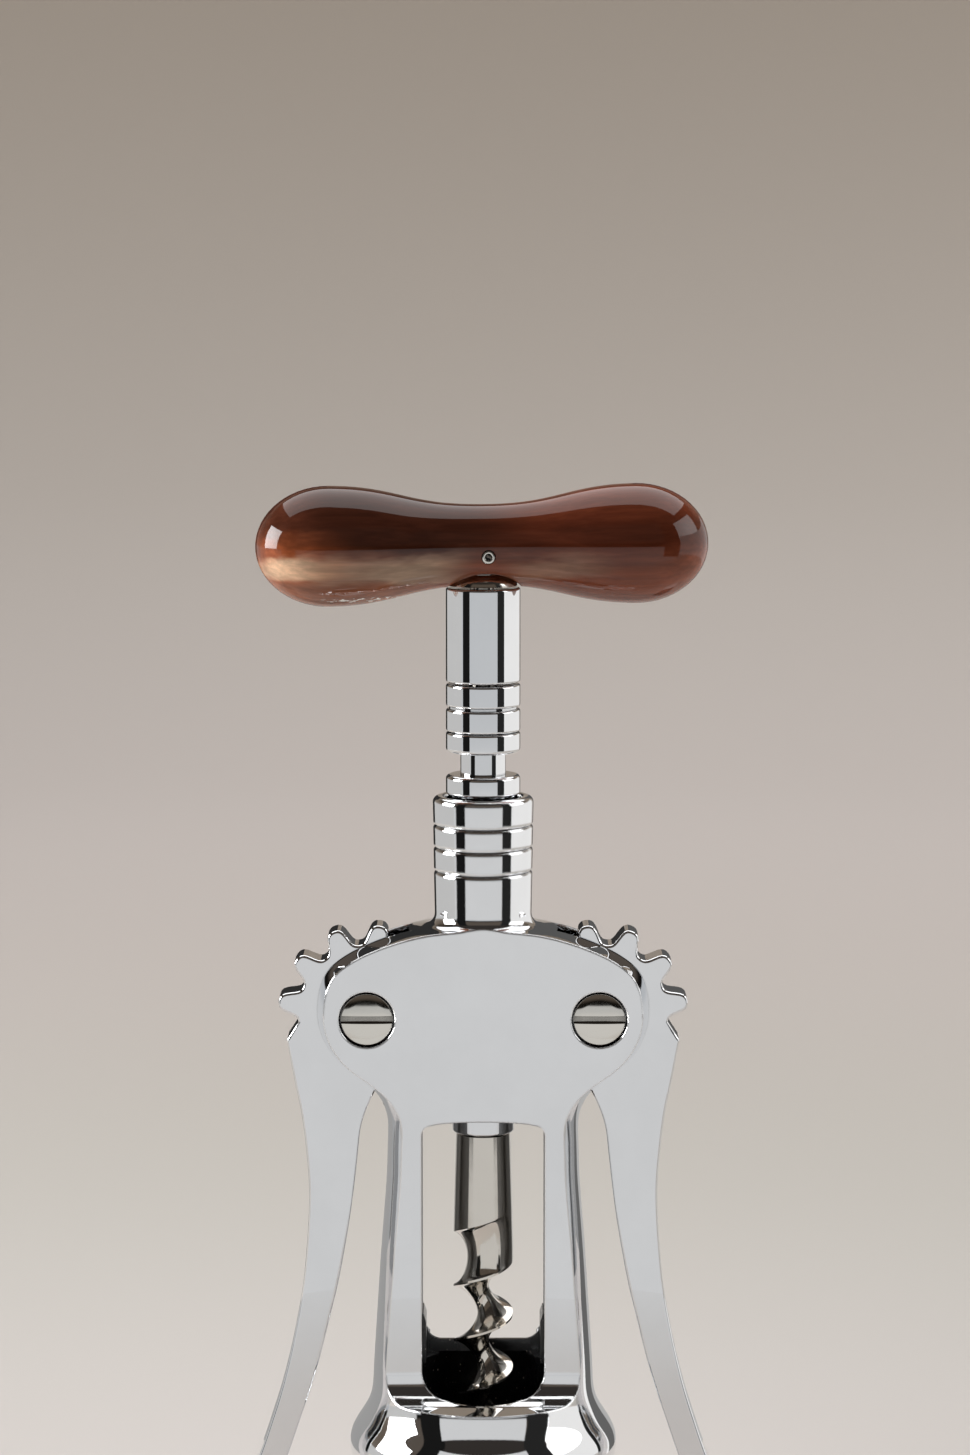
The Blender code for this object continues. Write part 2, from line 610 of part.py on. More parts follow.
def make_handle(surface):
    turn = Matrix.Rotation(HANDLE_TURN, 4, "Z")
    place = Matrix.Translation((0, 0, HANDLE_HEIGHT)) @ turn @ Matrix.Rotation(pi / 2, 4, "Y")
    handle = turned("handle", handle_outline(), surface, sides=HANDLE_SIDES, turn=place)
    seat = FERRULE_TOP + GAP
    rim = HANDLE_DIMPLE_RADIUS
    neck = STEM_NECK_RADIUS + GAP
    bore = STEM_RADIUS + GAP
    top = stem_top() + GAP
    crown = FERRULE_TOP + HANDLE_DIMPLE_DEPTH + GAP
    low = FERRULE_TOP - OVERRUN
    outline = [
        (0, top), (bore, top), (bore, crown), (neck, crown),
        ((rim + neck) / 2, seat + (crown - seat) * sin(radians(45))), (rim, seat), (rim, low), (0, low)]
    cut(handle, turned("handle_seat_cutter", outline, sides=SMALL_SIDES))
    cut(handle, pin_hole_cutter("handle_pin_cutter"))
    return handle


def make_pin(surface):
    """A rolled tubular pin through handle and stem, its ends flush with the handle's waist."""
    reach = (HANDLE_WAIST_RADIUS ** 2 - PIN_DROP ** 2) ** (1 / 2)
    outline = [
        (PIN_RADIUS, reach), (PIN_RADIUS, -reach), (PIN_BORE_RADIUS, -reach), (PIN_BORE_RADIUS, reach)]
    return turned("handle_pin", outline, surface, sides=FINE_SIDES, turn=pin_place())


def worm_radius(phase, height):
    """The worm's radius at an angle round from its crest: a narrow land and a hollow flute that runs in."""
    flute = sin(min(phase / (2 * pi - WORM_LAND), 1) * pi) ** FLUTE_SQUARENESS
    crest_height = height + WORM_PITCH * phase / (2 * pi)
    cut_in = min(max((SHANK_END - crest_height) / FLUTE_RUN, 0), 1)
    taper = min((height - WORM_TIP) / WORM_TAPER, 1)
    above = max((height - SHANK_END) / (RACK_BOTTOM - SHANK_END), 0)
    below = min(max((SHANK_END - height) / FLUTE_RUN, 0), 1)
    shank = SHANK_END_RADIUS + (SHANK_TOP_RADIUS - SHANK_END_RADIUS) * above
    crest = shank + (WORM_RADIUS - SHANK_END_RADIUS) * below
    return (crest - (crest - WORM_CORE_RADIUS) * flute * cut_in) * taper ** (2 / 3)


def worm_loop(bm, place_height, shape_height, radius=None):
    """A loop of the worm: its twist and radii at one height, placed at that or another height."""
    turn = WORM_CREST_ANGLE + 2 * pi * (shape_height - WORM_CREST_HEIGHT) / WORM_PITCH
    loop = []
    for k in range(WORM_SIDES):
        phase = 2 * pi * k / WORM_SIDES
        reach = radius or worm_radius(phase, shape_height)
        loop.append(bm.verts.new((reach * cos(turn + phase), reach * sin(turn + phase), place_height)))
    return loop


def make_worm(surface):
    """A right-handed worm milled from its own shank, drilled for the stem."""
    top = RACK_BOTTOM - GAP
    step = WORM_PITCH / WORM_STEPS_PER_TURN
    bm = bmesh.new()
    loops = [worm_loop(bm, top, SHANK_END, SHANK_TOP_RADIUS)]
    height = SHANK_END
    while height > WORM_TIP + step / 2:
        loops.append(worm_loop(bm, height, height))
        height -= step
    for low, high in zip(loops, loops[1:]):
        for k in range(WORM_SIDES):
            bm.faces.new((low[k], low[k - 1], high[k - 1], high[k]))
    bm.faces.new(loops[0])
    tip = bm.verts.new((0, 0, WORM_TIP))
    for k in range(WORM_SIDES):
        bm.faces.new((loops[-1][k], loops[-1][k - 1], tip))
    worm = finish("worm", bm, surface)
    bore = STEM_RADIUS + GAP
    floor = top - STEM_SOCKET_DEPTH
    outline = [(0, top + OVERRUN), (bore, top + OVERRUN), (bore, floor), (0, floor)]
    cut(worm, turned("worm_socket_cutter", outline, sides=FINE_SIDES))
    return worm


def main():
    clear_scene()
    chrome = material("chrome", (0.78, 0.79, 0.80), 1, 0.06)
    steel = material("steel", (0.52, 0.50, 0.47), 1, 0.18)
    bright_steel = material("bright_steel", (0.74, 0.72, 0.68), 1, 0.15)
    horn = material("horn", (0.26, 0.12, 0.08), 0, 0.15)
    plastic = material("black_plastic", (0.02, 0.02, 0.022), 0, 0.25)
    make_frame(chrome)
    make_liner(plastic)
    for word, side in (("left", -1), ("right", 1)):
        make_wing("wing_" + word, side, chrome)
        make_screw("pivot_screw_" + word, side, bright_steel)
    make_rack(chrome)
    make_ferrule(chrome)
    make_stem(steel)
    make_worm(steel)
    make_handle(horn)
    make_pin(bright_steel)


main()
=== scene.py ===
from math import atan2, cos, hypot, pi, radians, sin, tanh

import bpy
from bpy.props import FloatProperty, FloatVectorProperty, IntProperty, PointerProperty
from bpy.types import Operator, Panel, PropertyGroup
from mathutils import Matrix, Vector


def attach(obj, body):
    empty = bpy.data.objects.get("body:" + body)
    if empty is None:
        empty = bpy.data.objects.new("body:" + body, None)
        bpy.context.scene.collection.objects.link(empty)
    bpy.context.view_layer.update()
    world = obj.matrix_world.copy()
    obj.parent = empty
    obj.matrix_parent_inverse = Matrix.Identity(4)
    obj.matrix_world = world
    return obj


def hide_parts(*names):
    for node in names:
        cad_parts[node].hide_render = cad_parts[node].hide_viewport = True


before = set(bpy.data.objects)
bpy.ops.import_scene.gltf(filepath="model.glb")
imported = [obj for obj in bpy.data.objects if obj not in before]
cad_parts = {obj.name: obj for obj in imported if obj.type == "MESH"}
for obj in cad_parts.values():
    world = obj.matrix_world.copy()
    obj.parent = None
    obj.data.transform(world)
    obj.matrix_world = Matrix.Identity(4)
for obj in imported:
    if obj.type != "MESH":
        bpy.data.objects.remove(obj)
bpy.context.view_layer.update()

bl_info = {
    "name": "Wing Corkscrew",
    "version": (1, 0, 0),
    "blender": (4, 5, 0),
    "location": "3D View > Sidebar > Corkscrew",
    "description": "Models and finishes the pieces of a wing corkscrew and sets its stage",
    "category": "Add Mesh",
}

GAP = 0.0003
OVERRUN = 0.010
MERGE = 0.000001
SMALL_SIDES = 48
BORE_SIDES = 64
PART_SIDES = 96
SMOOTH_ANGLE = 32
NORMAL_WEIGHT = 80

# Gear pair
PIVOT_OFFSET = 0.0184
PIVOT_HEIGHT = 0.1023
TEETH_PER_TURN = 12
PITCH_RADIUS = 0.0133
TIP_RADIUS = 0.0143
ROOT_RADIUS = 0.0111
FIRST_TOOTH_ANGLE = radians(-8)
TOOTH_COUNT = 7
TOOTH_SQUARENESS = 1.5
TOOTH_PITCH = 2 * pi * PITCH_RADIUS / TEETH_PER_TURN
TOOTH_STEPS = 24

# Wings: each row is depth below the pivot and offset outward, shares of ARM_LENGTH,
# then width, a share of ARM_ROOT_WIDTH
ARM_LENGTH = 0.0925
ARM_ROOT_WIDTH = 0.0126
SHOULDER_RADIUS = 0.0136
SHOULDER_ANGLE = radians(198)
NOTCH_RADIUS = 0.0113
NOTCH_ANGLE = radians(191)
ARM_SHARES = (
    (0.134, 0.055, 1.000), (0.157, 0.058, 0.873), (0.195, 0.062, 0.730), (0.241, 0.062, 0.655),
    (0.299, 0.063, 0.575), (0.350, 0.0665, 0.532), (0.410, 0.0735, 0.488), (0.477, 0.083, 0.444),
    (0.535, 0.095, 0.413), (0.602, 0.110, 0.393), (0.666, 0.1275, 0.373), (0.720, 0.145, 0.366),
    (0.774, 0.163, 0.366), (0.843, 0.190, 0.378), (0.908, 0.219, 0.397), (0.955, 0.243, 0.420),
)
WING_STEP = 0.0009
WING_PASSES = 6
WING_EDGE_STEPS = 5
WING_SHOULDER_ROUND = 0.0008

# Pivot screws
SCREW_HEAD_RADIUS = 0.00415
SCREW_HEAD_HEIGHT = 0.0022
SCREW_SHANK_RADIUS = 0.0025
SCREW_SLOT_WIDTH = 0.00125
SCREW_SLOT_DEPTH = 0.0009
SCREW_RECESS = 0.0002
SCREW_DOME = 0.00034
SCREW_EDGE_SHARE = 0.6

# Ring rack
RACK_RADIUS = 0.0059
RACK_NECK_RADIUS = 0.0036
RACK_RING_WIDTH = 0.0034
RACK_TOP = 0.1549
RACK_LINES = ((0.15115, 0.0004), (0.1473, 0.0001))
RACK_LINE_DEPTH = 0.0005
RACK_RING_EDGE = 0.0007
RACK_SPIGOT_RADIUS = 0.0049
RACK_BOTTOM = 0.0827

# Stem, ferrule and handle: each handle row is the distance from the middle as a share of the
# half length, then the share of the way from waist to lobe radius
STEM_RADIUS = 0.0020
STEM_NECK_RADIUS = 0.0030
STEM_SHOULDER_RADIUS = 0.0054
STEM_SHOULDER_HEIGHT = 0.0018
FERRULE_TOP = 0.1702
HANDLE_HEIGHT = 0.1769
HANDLE_DIMPLE_DEPTH = 0.0028
HANDLE_DIMPLE_RADIUS = 0.0062
STEM_TOP_COVER = 0.0030
PIN_RADIUS = 0.00105
PIN_BORE_RADIUS = 0.00055
PIN_DROP = 0.0015
HANDLE_SHARES = (
    (0.00, 0.00), (0.10, 0.025), (0.20, 0.13), (0.30, 0.34), (0.40, 0.62),
    (0.50, 0.85), (0.60, 0.975), (0.68, 1.00),
)
HANDLE_STEP = 0.0005
HANDLE_PASSES = 12
HANDLE_SIDES = 128
# Each row: share of the way from neck to rim, then from seat to crown
DIMPLE_SHARES = ((0.30, 0.92), (0.58, 0.72), (0.84, 0.40))

# Worm
SHANK_TOP_RADIUS = 0.0043
SHANK_END_RADIUS = 0.00465
SHANK_END = 0.0700
FLUTE_RUN = 0.0063
FLUTE_SQUARENESS = 0.55
WORM_LAND = radians(18)
WORM_TIP = 0.0165
WORM_TAPER = 0.0100
WORM_CREST_ANGLE = radians(180)
WORM_CREST_HEIGHT = 0.0571
WORM_SIDES = 72
WORM_STEPS_PER_TURN = 48
WORM_SMOOTH_ANGLE = 40
STEM_SOCKET_DEPTH = 0.0100

# Frame: collar, head, columns and bell
COLLAR_RADIUS = 0.0080
COLLAR_TOP = 0.1370
COLLAR_TAPER = 0.0003
COLLAR_EDGE = 0.0010
COLLAR_LINE_HEIGHTS = (0.1324, 0.1288, 0.1250)
COLLAR_LINE_EDGE = 0.00055
COLLAR_BASE = 0.1162
COLLAR_FILLET = 0.0020
HEAD_RADIUS = 0.0266
WAIST_RADIUS = 0.0152
WAIST_HEIGHT = 0.0845
COVE_RADIUS = 0.0046
SHELF_HEIGHT = 0.0406
SHELF_RADIUS = 0.0178
SHOULDER_BEAD_RADIUS = 0.0217
SHOULDER_BEAD_HEIGHT = 0.0320
BELL_RADIUS = 0.0208
BELL_RIM_RADIUS = 0.0214
BELL_RIM_HEIGHT = 0.0040
BELL_EDGE = 0.0008
FRAME_STEP = 0.00045
FRAME_PASSES = 14
# Each row: share of HEAD_RADIUS, then height above the waist as a share of the head's height
HEAD_SHARES = (
    (0.470, 0.984), (0.628, 0.940), (0.774, 0.886), (0.865, 0.839), (0.940, 0.785), (0.977, 0.719),
    (1.000, 0.615), (0.992, 0.498), (0.940, 0.391), (0.865, 0.312), (0.774, 0.252), (0.711, 0.211),
    (0.650, 0.162), (0.612, 0.110), (0.583, 0.055),
)
# Each row: share of the way from the upper to the lower radius, then share of the way down
COLUMN_SHARES = ((0.05, 0.10), (0.12, 0.22), (0.46, 0.48), (0.77, 0.76), (0.92, 0.90))
FLARE_SHARES = ((0.12, 0.22), (0.36, 0.43), (0.66, 0.62), (0.90, 0.82))

# Window, bores and wing slots
WINDOW_TOP = 0.0851
WINDOW_ARCH = 0.0007
WINDOW_BOTTOM = 0.0465
WINDOW_TOP_ROUND = 0.0016
WINDOW_BOTTOM_ROUND = 0.0040
MOUTH_BOTTOM = 0.0412
NECK_BORE_RADIUS = 0.0120
BELL_BORE_RADIUS = 0.0175
BELL_BORE_TOP = 0.0190
NECK_BORE_BOTTOM = 0.0290
NECK_BORE_TOP = 0.0535
SLOT_TIP_CLEARANCE = 0.0007
SLOT_INNER_EDGE = 0.0165
SLOT_BOTTOM = 0.0800

# Bell liner
LINER_BORE_RADIUS = 0.0100
LINER_MOUTH_RADIUS = 0.0155
LINER_SEAT_HEIGHT = 0.0140
LINER_FRONT_TOP = 0.0400
LINER_RIM_HEIGHT = 0.0442
LINER_FOOT = 0.0008
SILL_HEIGHT = 0.0464
SILL_ROUND = 0.0024
SILL_FRONT = 0.0072
SILL_BACK = 0.0080
SILL_BACK_HEIGHT = 0.0452
SILL_SIDE_TOP = 0.0526

# Painted shade in gaps: the reach, then the openness at which it is full and gone
GAP_PAINTED_SHADE = (0.0008, 0.30, 0.62)
SLOT_PAINTED_SHADE = (0.0020, 0.20, 0.90)
PAINTED_SHADE_SHARE = 0.06
WIPE_SHARE = 0.965
# How dark the walls inside the window are painted, partly as their duller metal and partly as painted shade;
# then how much rougher they are
WINDOW_SHADE_SHARE = 0.20
DULL_ROUGHNESS = 0.30
RELIEF = 0.0001
# Metals: name, least and most roughness, scale of the scratches, painted shade in gaps
METALS = {
    "chrome": ("polished chrome", 0.02, 0.05, (900, 900, 60), GAP_PAINTED_SHADE),
    "nickel": ("nickel plate", 0.06, 0.12, (90, 1500, 1500), SLOT_PAINTED_SHADE),
    "steel": ("milled steel", 0.06, 0.15, (1400, 1400, 200), ()),
}

# Patches of the horn, as windows along the handle and in height from its middle; a window is where
# the patch begins, is full, begins to fade and ends
HORN_END = (-0.0368, -0.0335, -0.0305, -0.0200)
HORN_STREAK = ((-0.031, -0.022, -0.011, -0.001), (-0.0066, -0.0047, -0.0031, -0.0010))
HORN_SECOND_STREAK = ((0.001, 0.008, 0.012, 0.022), (-0.0052, -0.0034, -0.0024, -0.0006))
# Painted glow: these two patches are partly the horn's amber and red and partly painted light shining through
# its left end.
HORN_PAINTED_GLOW = (HORN_END, (-0.0068, -0.0040, -0.0006, 0.0030))
HORN_PAINTED_GLOW_SPOT = (HORN_END, (-0.0056, -0.0038, -0.0022, -0.0006))
# Painted glints: tiny pale specks of reflected light along the horn's lower left.
HORN_GLINTS = ((-0.0270, -0.0230, -0.0130, -0.0100), (-0.0087, -0.0083, -0.0079, -0.0076))
HORN_WAVER = 0.006
HORN_LEAN = 0.09

# Backdrop: a floor that sweeps up into a wall, with colours at shares of the way along it; their changes in
# brightness, lighter under the object and where the sweep begins and darker up the wall, are painted light
# and shade
FLOOR_RINGS = (0, 0.25, 0.6)
FLOOR_RADIUS = 1.0
SWEEP_RADIUS = 0.8
WALL_TOP = 1.65
RAMP_LENGTH = 3.5
BACKDROP_STOPS = {
    "floor_near": 0.02, "floor_middle": 0.09, "floor_far": 0.17, "floor_edge": 0.29,
    "wall_low": 0.42, "wall_high": 0.65,
}
# What metal mirrors of the front: where it starts in Y, then how far along it blends
FRONT_START = (-0.10, -0.26)
FRONT_FADE = (0.65, 1.25)
FRONT_EDGE = (1.42, 1.50)
FRONT_ROOM = (1.7, 2.2)

# Cards that only reflections see: first and last azimuth, distance, bottom, height, strength
CARD_STEPS = 12
CARD_TINT = (1, 0.985, 0.965)
CARDS = {
    "left front flag": (-65, -42, 0.48, 0, 0.55, 0.01),
    "right front flag": (45, 68, 0.48, 0, 0.55, 0.02),
    "left back flag": (-175, -147, 0.62, 0, 0.4, 0.03),
    "right back flag": (160, 176, 0.62, 0, 0.4, 0.10),
    "left reflector": (-147, -70, 0.6, 0, 0.15, 0.585),
    "right reflector": (69, 150, 0.6, 0, 0.3, 0.92),
    "front card": (-38, 38, 0.06, 0.044, 0.031, 1),
    "left low card": (-175, -112, 0.13, 0, 0.06, 0.36),
    "right low stripe": (118, 129, 0.13, 0, 0.06, 1),
    "right low flag": (129, 148, 0.13, 0, 0.06, 0.14),
    "right low card": (148, 175, 0.13, 0, 0.06, 0.46),
}
# Lamps: place, target, width, depth, spread
LAMPS = {
    "top": ((0.08, 0.70, 1.17), (0.08, 0.70, 0), 1.9, 1.6, pi),
    "left": ((-1.0, 0, 0.36), (0, 0, 0.1), 0.6, 0.6, radians(110)),
    "right": ((1.05, 0, 0.5), (0, 0, 0.1), 0.9, 0.7, radians(110)),
}
ROOM_COLOUR = (0.035, 0.03, 0.027, 1)
CAMERA_PLACE = (0.0003, -0.661, 0.229)
CAMERA_TILT = radians(83)
CAMERA_LENS = 103.9
CAMERA_SENSOR = 36


def length_setting(name, text, default):
    return FloatProperty(name=name, description=text, default=default, min=0, precision=5, unit="LENGTH")


def colour_setting(name, text, default):
    return FloatVectorProperty(
        name=name, description=text, default=default, size=3, min=0, max=1, subtype="COLOR")


def power_setting(name, text, default):
    return FloatProperty(name=name, description=text, default=default, min=0, unit="POWER")


class CorkscrewSizes(PropertyGroup):
    """Sizes of the pieces that a user would change."""
    edge: length_setting("Edge", "Radius of the small rounded edges of turned pieces", 0.0004)
    frame_edge: length_setting("Frame Edge", "Radius of the frame's cut edges", 0.0005)
    flat_depth: length_setting("Flat Depth", "Distance of the frame's flats from its middle", 0.0083)
    window_half_width: length_setting("Window Half Width", "Half the width of the frame's window", 0.0098)
    wing_thickness: length_setting("Wing Thickness", "Thickness of each wing's plate", 0.0062)
    wing_edge: length_setting("Wing Edge", "Radius of the wings' rounded edges", 0.00045)
    handle_half_length: length_setting("Handle Half Length", "From the handle's middle to its end", 0.0360)
    handle_waist: length_setting("Handle Waist", "Radius of the handle's waist", 0.0064)
    handle_lobe: length_setting("Handle Lobe", "Radius of the handle's two lobes", 0.0095)
    handle_turn: FloatProperty(
        name="Handle Turn", description="The handle's turn about the spindle", default=radians(8),
        subtype="ANGLE")
    worm_radius: length_setting("Worm Radius", "Radius of the worm's crest", 0.0048)
    worm_core: length_setting("Worm Core", "Radius of the metal left at the worm's middle", 0.0009)
    worm_pitch: length_setting("Worm Pitch", "Rise of the worm in one turn", 0.0090)
    turn_sides: IntProperty(
        name="Turning Sides", description="Sides of the large turned pieces", default=176, min=24, max=256)


class CorkscrewFinishes(PropertyGroup):
    """Colours of the metals, the horn and the lining."""
    chrome: colour_setting("Chrome", "Tint of the polished plating", (0.86, 0.87, 0.885))
    steel: colour_setting("Steel", "Tint of the worm and stem", (0.76, 0.72, 0.66))
    nickel: colour_setting("Nickel", "Tint of the screws and the cross pin", (0.80, 0.77, 0.71))
    # The lower colours are lighter than the upper ones, partly as the horn's own layers and partly as painted
    # light from the floor below.
    horn_dark: colour_setting(
        "Horn Dark", "The horn's darkest brown at the upper left", (0.088, 0.025, 0.013))
    horn_brown: colour_setting("Horn Brown", "The horn's brown at the upper right", (0.170, 0.040, 0.018))
    horn_red: colour_setting("Horn Red", "The horn's redder brown at the lower right", (0.280, 0.078, 0.038))
    horn_clear: colour_setting("Horn Clear", "The clearer horn at the lower left", (0.315, 0.115, 0.060))
    horn_pale: colour_setting("Horn Pale", "The pale streak at the lower left", (0.620, 0.420, 0.290))
    # Painted glow: the spot and its red surround are partly the horn's own colour and partly painted light
    # shining through its left end.
    horn_amber_painted_glow: colour_setting("Horn Amber Painted Glow", "The glowing spot at the left end", (0.820, 0.530, 0.340))
    horn_painted_glow: colour_setting("Horn Painted Glow", "The red glow round that spot", (0.420, 0.110, 0.042))
    # Painted glints: tiny pale specks of reflected light, painted into the horn's colour.
    horn_glints: colour_setting("Horn Glints", "Tiny pale chips along the lower left", (0.90, 0.86, 0.80))
    lining: colour_setting("Lining", "The bell liner's black", (0.010, 0.010, 0.011))
    dust: colour_setting("Dust", "Specks of dust on the liner", (0.55, 0.50, 0.44))


class CorkscrewStage(PropertyGroup):
    """Colours and lamps of the stage."""
    floor_near: colour_setting("Floor Near", "Backdrop colour under the object", (0.632, 0.595, 0.572))
    floor_middle: colour_setting("Floor Middle", "Backdrop colour round the object", (0.53, 0.504, 0.468))
    floor_far: colour_setting("Floor Far", "Backdrop colour behind the object", (0.535, 0.493, 0.462))
    floor_edge: colour_setting("Floor Edge", "Backdrop colour where the sweep begins", (0.592, 0.545, 0.517))
    wall_low: colour_setting("Wall Low", "Backdrop colour of the wall's foot", (0.54, 0.495, 0.455))
    wall_high: colour_setting("Wall High", "Backdrop colour of the wall's top", (0.381, 0.328, 0.273))
    front_floor: colour_setting(
        "Front Floor", "What polished metal mirrors of the floor in front", (0.676, 0.675, 0.673))
    front_far: colour_setting(
        "Front Far", "What polished metal mirrors of the floor's far edge in front", (0.57, 0.58, 0.59))
    front_dark: colour_setting(
        "Front Dark", "What polished metal mirrors beyond the floor's edge", (0.008, 0.007, 0.006))
    front_room: colour_setting(
        "Front Room", "What polished metal mirrors of the room in front", (0.10, 0.082, 0.068))
    top_power: power_setting("Top Lamp", "Power of the lamp overhead", 17)
    left_power: power_setting("Left Lamp", "Power of the lamp at the left", 4.9)
    right_power: power_setting("Right Lamp", "Power of the lamp at the right", 1.65)


def deselect():
    if bpy.context.mode != "OBJECT":
        bpy.ops.object.mode_set(mode="OBJECT")
    bpy.ops.object.select_all(action="DESELECT")


def pick(piece):
    """Select one object alone and make it the active one."""
    deselect()
    piece.select_set(True)
    bpy.context.view_layer.objects.active = piece


def catmull_rom(points, parts=12):
    """Points on a smooth curve through the given points."""
    ends = [points[0], *points, points[-1]]
    curve = []
    for a, b, c, d in zip(ends, ends[1:], ends[2:], ends[3:]):
        for part in range(parts):
            t = part / parts
            curve.append(tuple(
                (2 * q + (r - p) * t + (2 * p - 5 * q + 4 * r - s) * t ** 2
                 + (3 * q - p - 3 * r + s) * t ** 3) / 2
                for p, q, r, s in zip(a, b, c, d)))
    return [*curve, tuple(points[-1])]


def even_steps(points, step):
    """The same line with points at even distances."""
    total = sum(hypot(b[0] - a[0], b[1] - a[1]) for a, b in zip(points, points[1:]))
    count = max(round(total / step), 1)
    spacing = total / count
    result = [tuple(points[0])]
    walked = 0
    for a, b in zip(points, points[1:]):
        length = hypot(b[0] - a[0], b[1] - a[1])
        while length and len(result) < count and walked + length >= spacing * len(result):
            share = (spacing * len(result) - walked) / length
            result.append((a[0] + (b[0] - a[0]) * share, a[1] + (b[1] - a[1]) * share))
        walked += length
    return [*result, tuple(points[-1])]


def flowing(points, step, passes):
    """A fair curve near the points, without the small bumps that polished metal would show."""
    run = even_steps(catmull_rom(points), step)
    for _ in range(passes):
        inner = [
            tuple((a + 2 * b + c) / 4 for a, b, c in zip(p, q, r))
            for p, q, r in zip(run, run[1:], run[2:])]
        run = [run[0], *inner, run[-1]]
    return run


def arc(centre, radius, start, end, steps=5):
    """Points of an arc, with angles in degrees."""
    return [
        (centre[0] + radius * cos(a), centre[1] + radius * sin(a))
        for a in (radians(start + (end - start) * k / steps) for k in range(steps + 1))]


def rounded(corners, steps=10):
    """A closed outline from corners (x, y, radius), with arcs at the rounded ones."""
    outline = []
    for index, (x, y, radius) in enumerate(corners):
        corner = Vector((x, y))
        if not radius:
            outline.append((x, y))
            continue
        before = (Vector(corners[index - 1][:2]) - corner).normalized()
        after = (Vector(corners[(index + 1) % len(corners)][:2]) - corner).normalized()
        half = before.angle(after) / 2
        middle = corner + (before + after).normalized() * radius / sin(half)
        start = corner + before * radius * cos(half) / sin(half) - middle
        end = corner + after * radius * cos(half) / sin(half) - middle
        turn = atan2(start.cross(end), start.dot(end))
        for step in range(steps + 1):
            arm = start.copy()
            arm.rotate(Matrix.Rotation(turn * step / steps, 2))
            outline.append(tuple(middle + arm))
    return outline


def draw_line(name, points):
    """Draw a chain of edges by extruding one vertex from point to point; stays in edit mode."""
    deselect()
    bpy.ops.mesh.primitive_plane_add(size=OVERRUN, location=points[0])
    line = bpy.context.object
    line.name = name
    bpy.ops.object.mode_set(mode="EDIT")
    bpy.ops.mesh.select_mode(type="VERT")
    bpy.ops.mesh.select_all(action="SELECT")
    bpy.ops.mesh.merge(type="CENTER")
    for here, there in zip(points, points[1:]):
        bpy.ops.mesh.extrude_vertices_move(TRANSFORM_OT_translate={"value": Vector(there) - Vector(here)})
    return line


def extrude(move):
    """Extrude what is selected in edit mode."""
    bpy.ops.mesh.extrude_region_move(TRANSFORM_OT_translate={"value": move})


def merge_all():
    """Merge what lies together in edit mode, and leave all of it selected."""
    bpy.ops.mesh.select_all(action="SELECT")
    bpy.ops.mesh.remove_doubles(threshold=MERGE)
    bpy.ops.mesh.select_all(action="SELECT")


def weld(inside=False):
    """Merge what lies together and point the faces outwards, or inwards for a room."""
    merge_all()
    bpy.ops.mesh.normals_make_consistent(inside=inside)


def close_shape(piece):
    """Leave edit mode with the object at the origin and its place in its mesh."""
    pick(piece)
    bpy.ops.object.transform_apply(location=True, rotation=True, scale=True)
    return piece


def turned(name, outline, sides, centre=(0, 0, 0), axis=(0, 0, 1), out=(1, 0, 0)):
    """Turn an outline of (radius, distance along the axis) round an axis through centre.

    An outline that starts on the axis stays open, and any other is closed.
    """
    centre, axis, out = Vector(centre), Vector(axis), Vector(out)
    path = [centre + out * radius + axis * along for radius, along in outline]
    if outline[0][0]:
        path.append(path[0])
    piece = draw_line(name, path)
    merge_all()
    bpy.ops.mesh.spin(steps=sides, angle=2 * pi, center=centre, axis=axis)
    weld()
    return close_shape(piece)


def rod(name, radius, low, high, sides, *line):
    """A solid round bar between two distances along an axis."""
    return turned(name, [(0, high), (radius, high), (radius, low), (0, low)], sides, *line)


def prism(name, outline, low, high, axis="Y"):
    """A straight bar of an outline in XZ along Y, or of one in YZ along X."""
    along_y = axis == "Y"
    path = [(a, low, b) if along_y else (low, a, b) for a, b in outline]
    piece = draw_line(name, [*path, path[0]])
    merge_all()
    bpy.ops.mesh.edge_face_add()
    extrude((0, high - low, 0) if along_y else (high - low, 0, 0))
    weld()
    return close_shape(piece)


def oblong(left, right, low, high):
    """The outline of an upright rectangle."""
    return [(left, low), (right, low), (right, high), (left, high)]


def modify(piece, kind, **values):
    """Add a modifier to the piece, set it and apply it."""
    pick(piece)
    bpy.ops.object.modifier_add(type=kind)
    step = piece.modifiers[-1]
    for key, value in values.items():
        setattr(step, key, value)
    bpy.ops.object.modifier_apply(modifier=step.name)


def carve(piece, *cutters):
    """Cut the piece by each cutter, which is then thrown away."""
    for cutter in cutters:
        modify(piece, "BOOLEAN", operation="DIFFERENCE", solver="EXACT", object=cutter)
        bpy.data.objects.remove(cutter, do_unlink=True)


def both_sides(make_cutter, size):
    """A cutter for each side, joined into one because the two don't touch."""
    left, right = make_cutter(-1, size), make_cutter(1, size)
    pick(left)
    right.select_set(True)
    bpy.ops.object.join()
    return left


def dress(piece, surface, body, slot, *nodes, angle=SMOOTH_ANGLE):
    """Shade the piece, give it its finish, and hang it on its body in place of the CAD nodes."""
    if not piece.data.polygons:
        raise RuntimeError(piece.name + " has no faces")
    pick(piece)
    bpy.ops.object.shade_smooth_by_angle(angle=radians(angle))
    modify(piece, "WEIGHTED_NORMAL", keep_sharp=True, weight=NORMAL_WEIGHT)
    piece.data.materials.clear()
    piece.data.materials.append(surface)
    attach(piece, body)
    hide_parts(*nodes)


def fill(tree, sockets, values):
    """Set or link sockets by their names or numbers."""
    for key, value in values.items():
        if isinstance(value, bpy.types.NodeSocket):
            tree.links.new(value, sockets[key])
        else:
            sockets[key].default_value = value


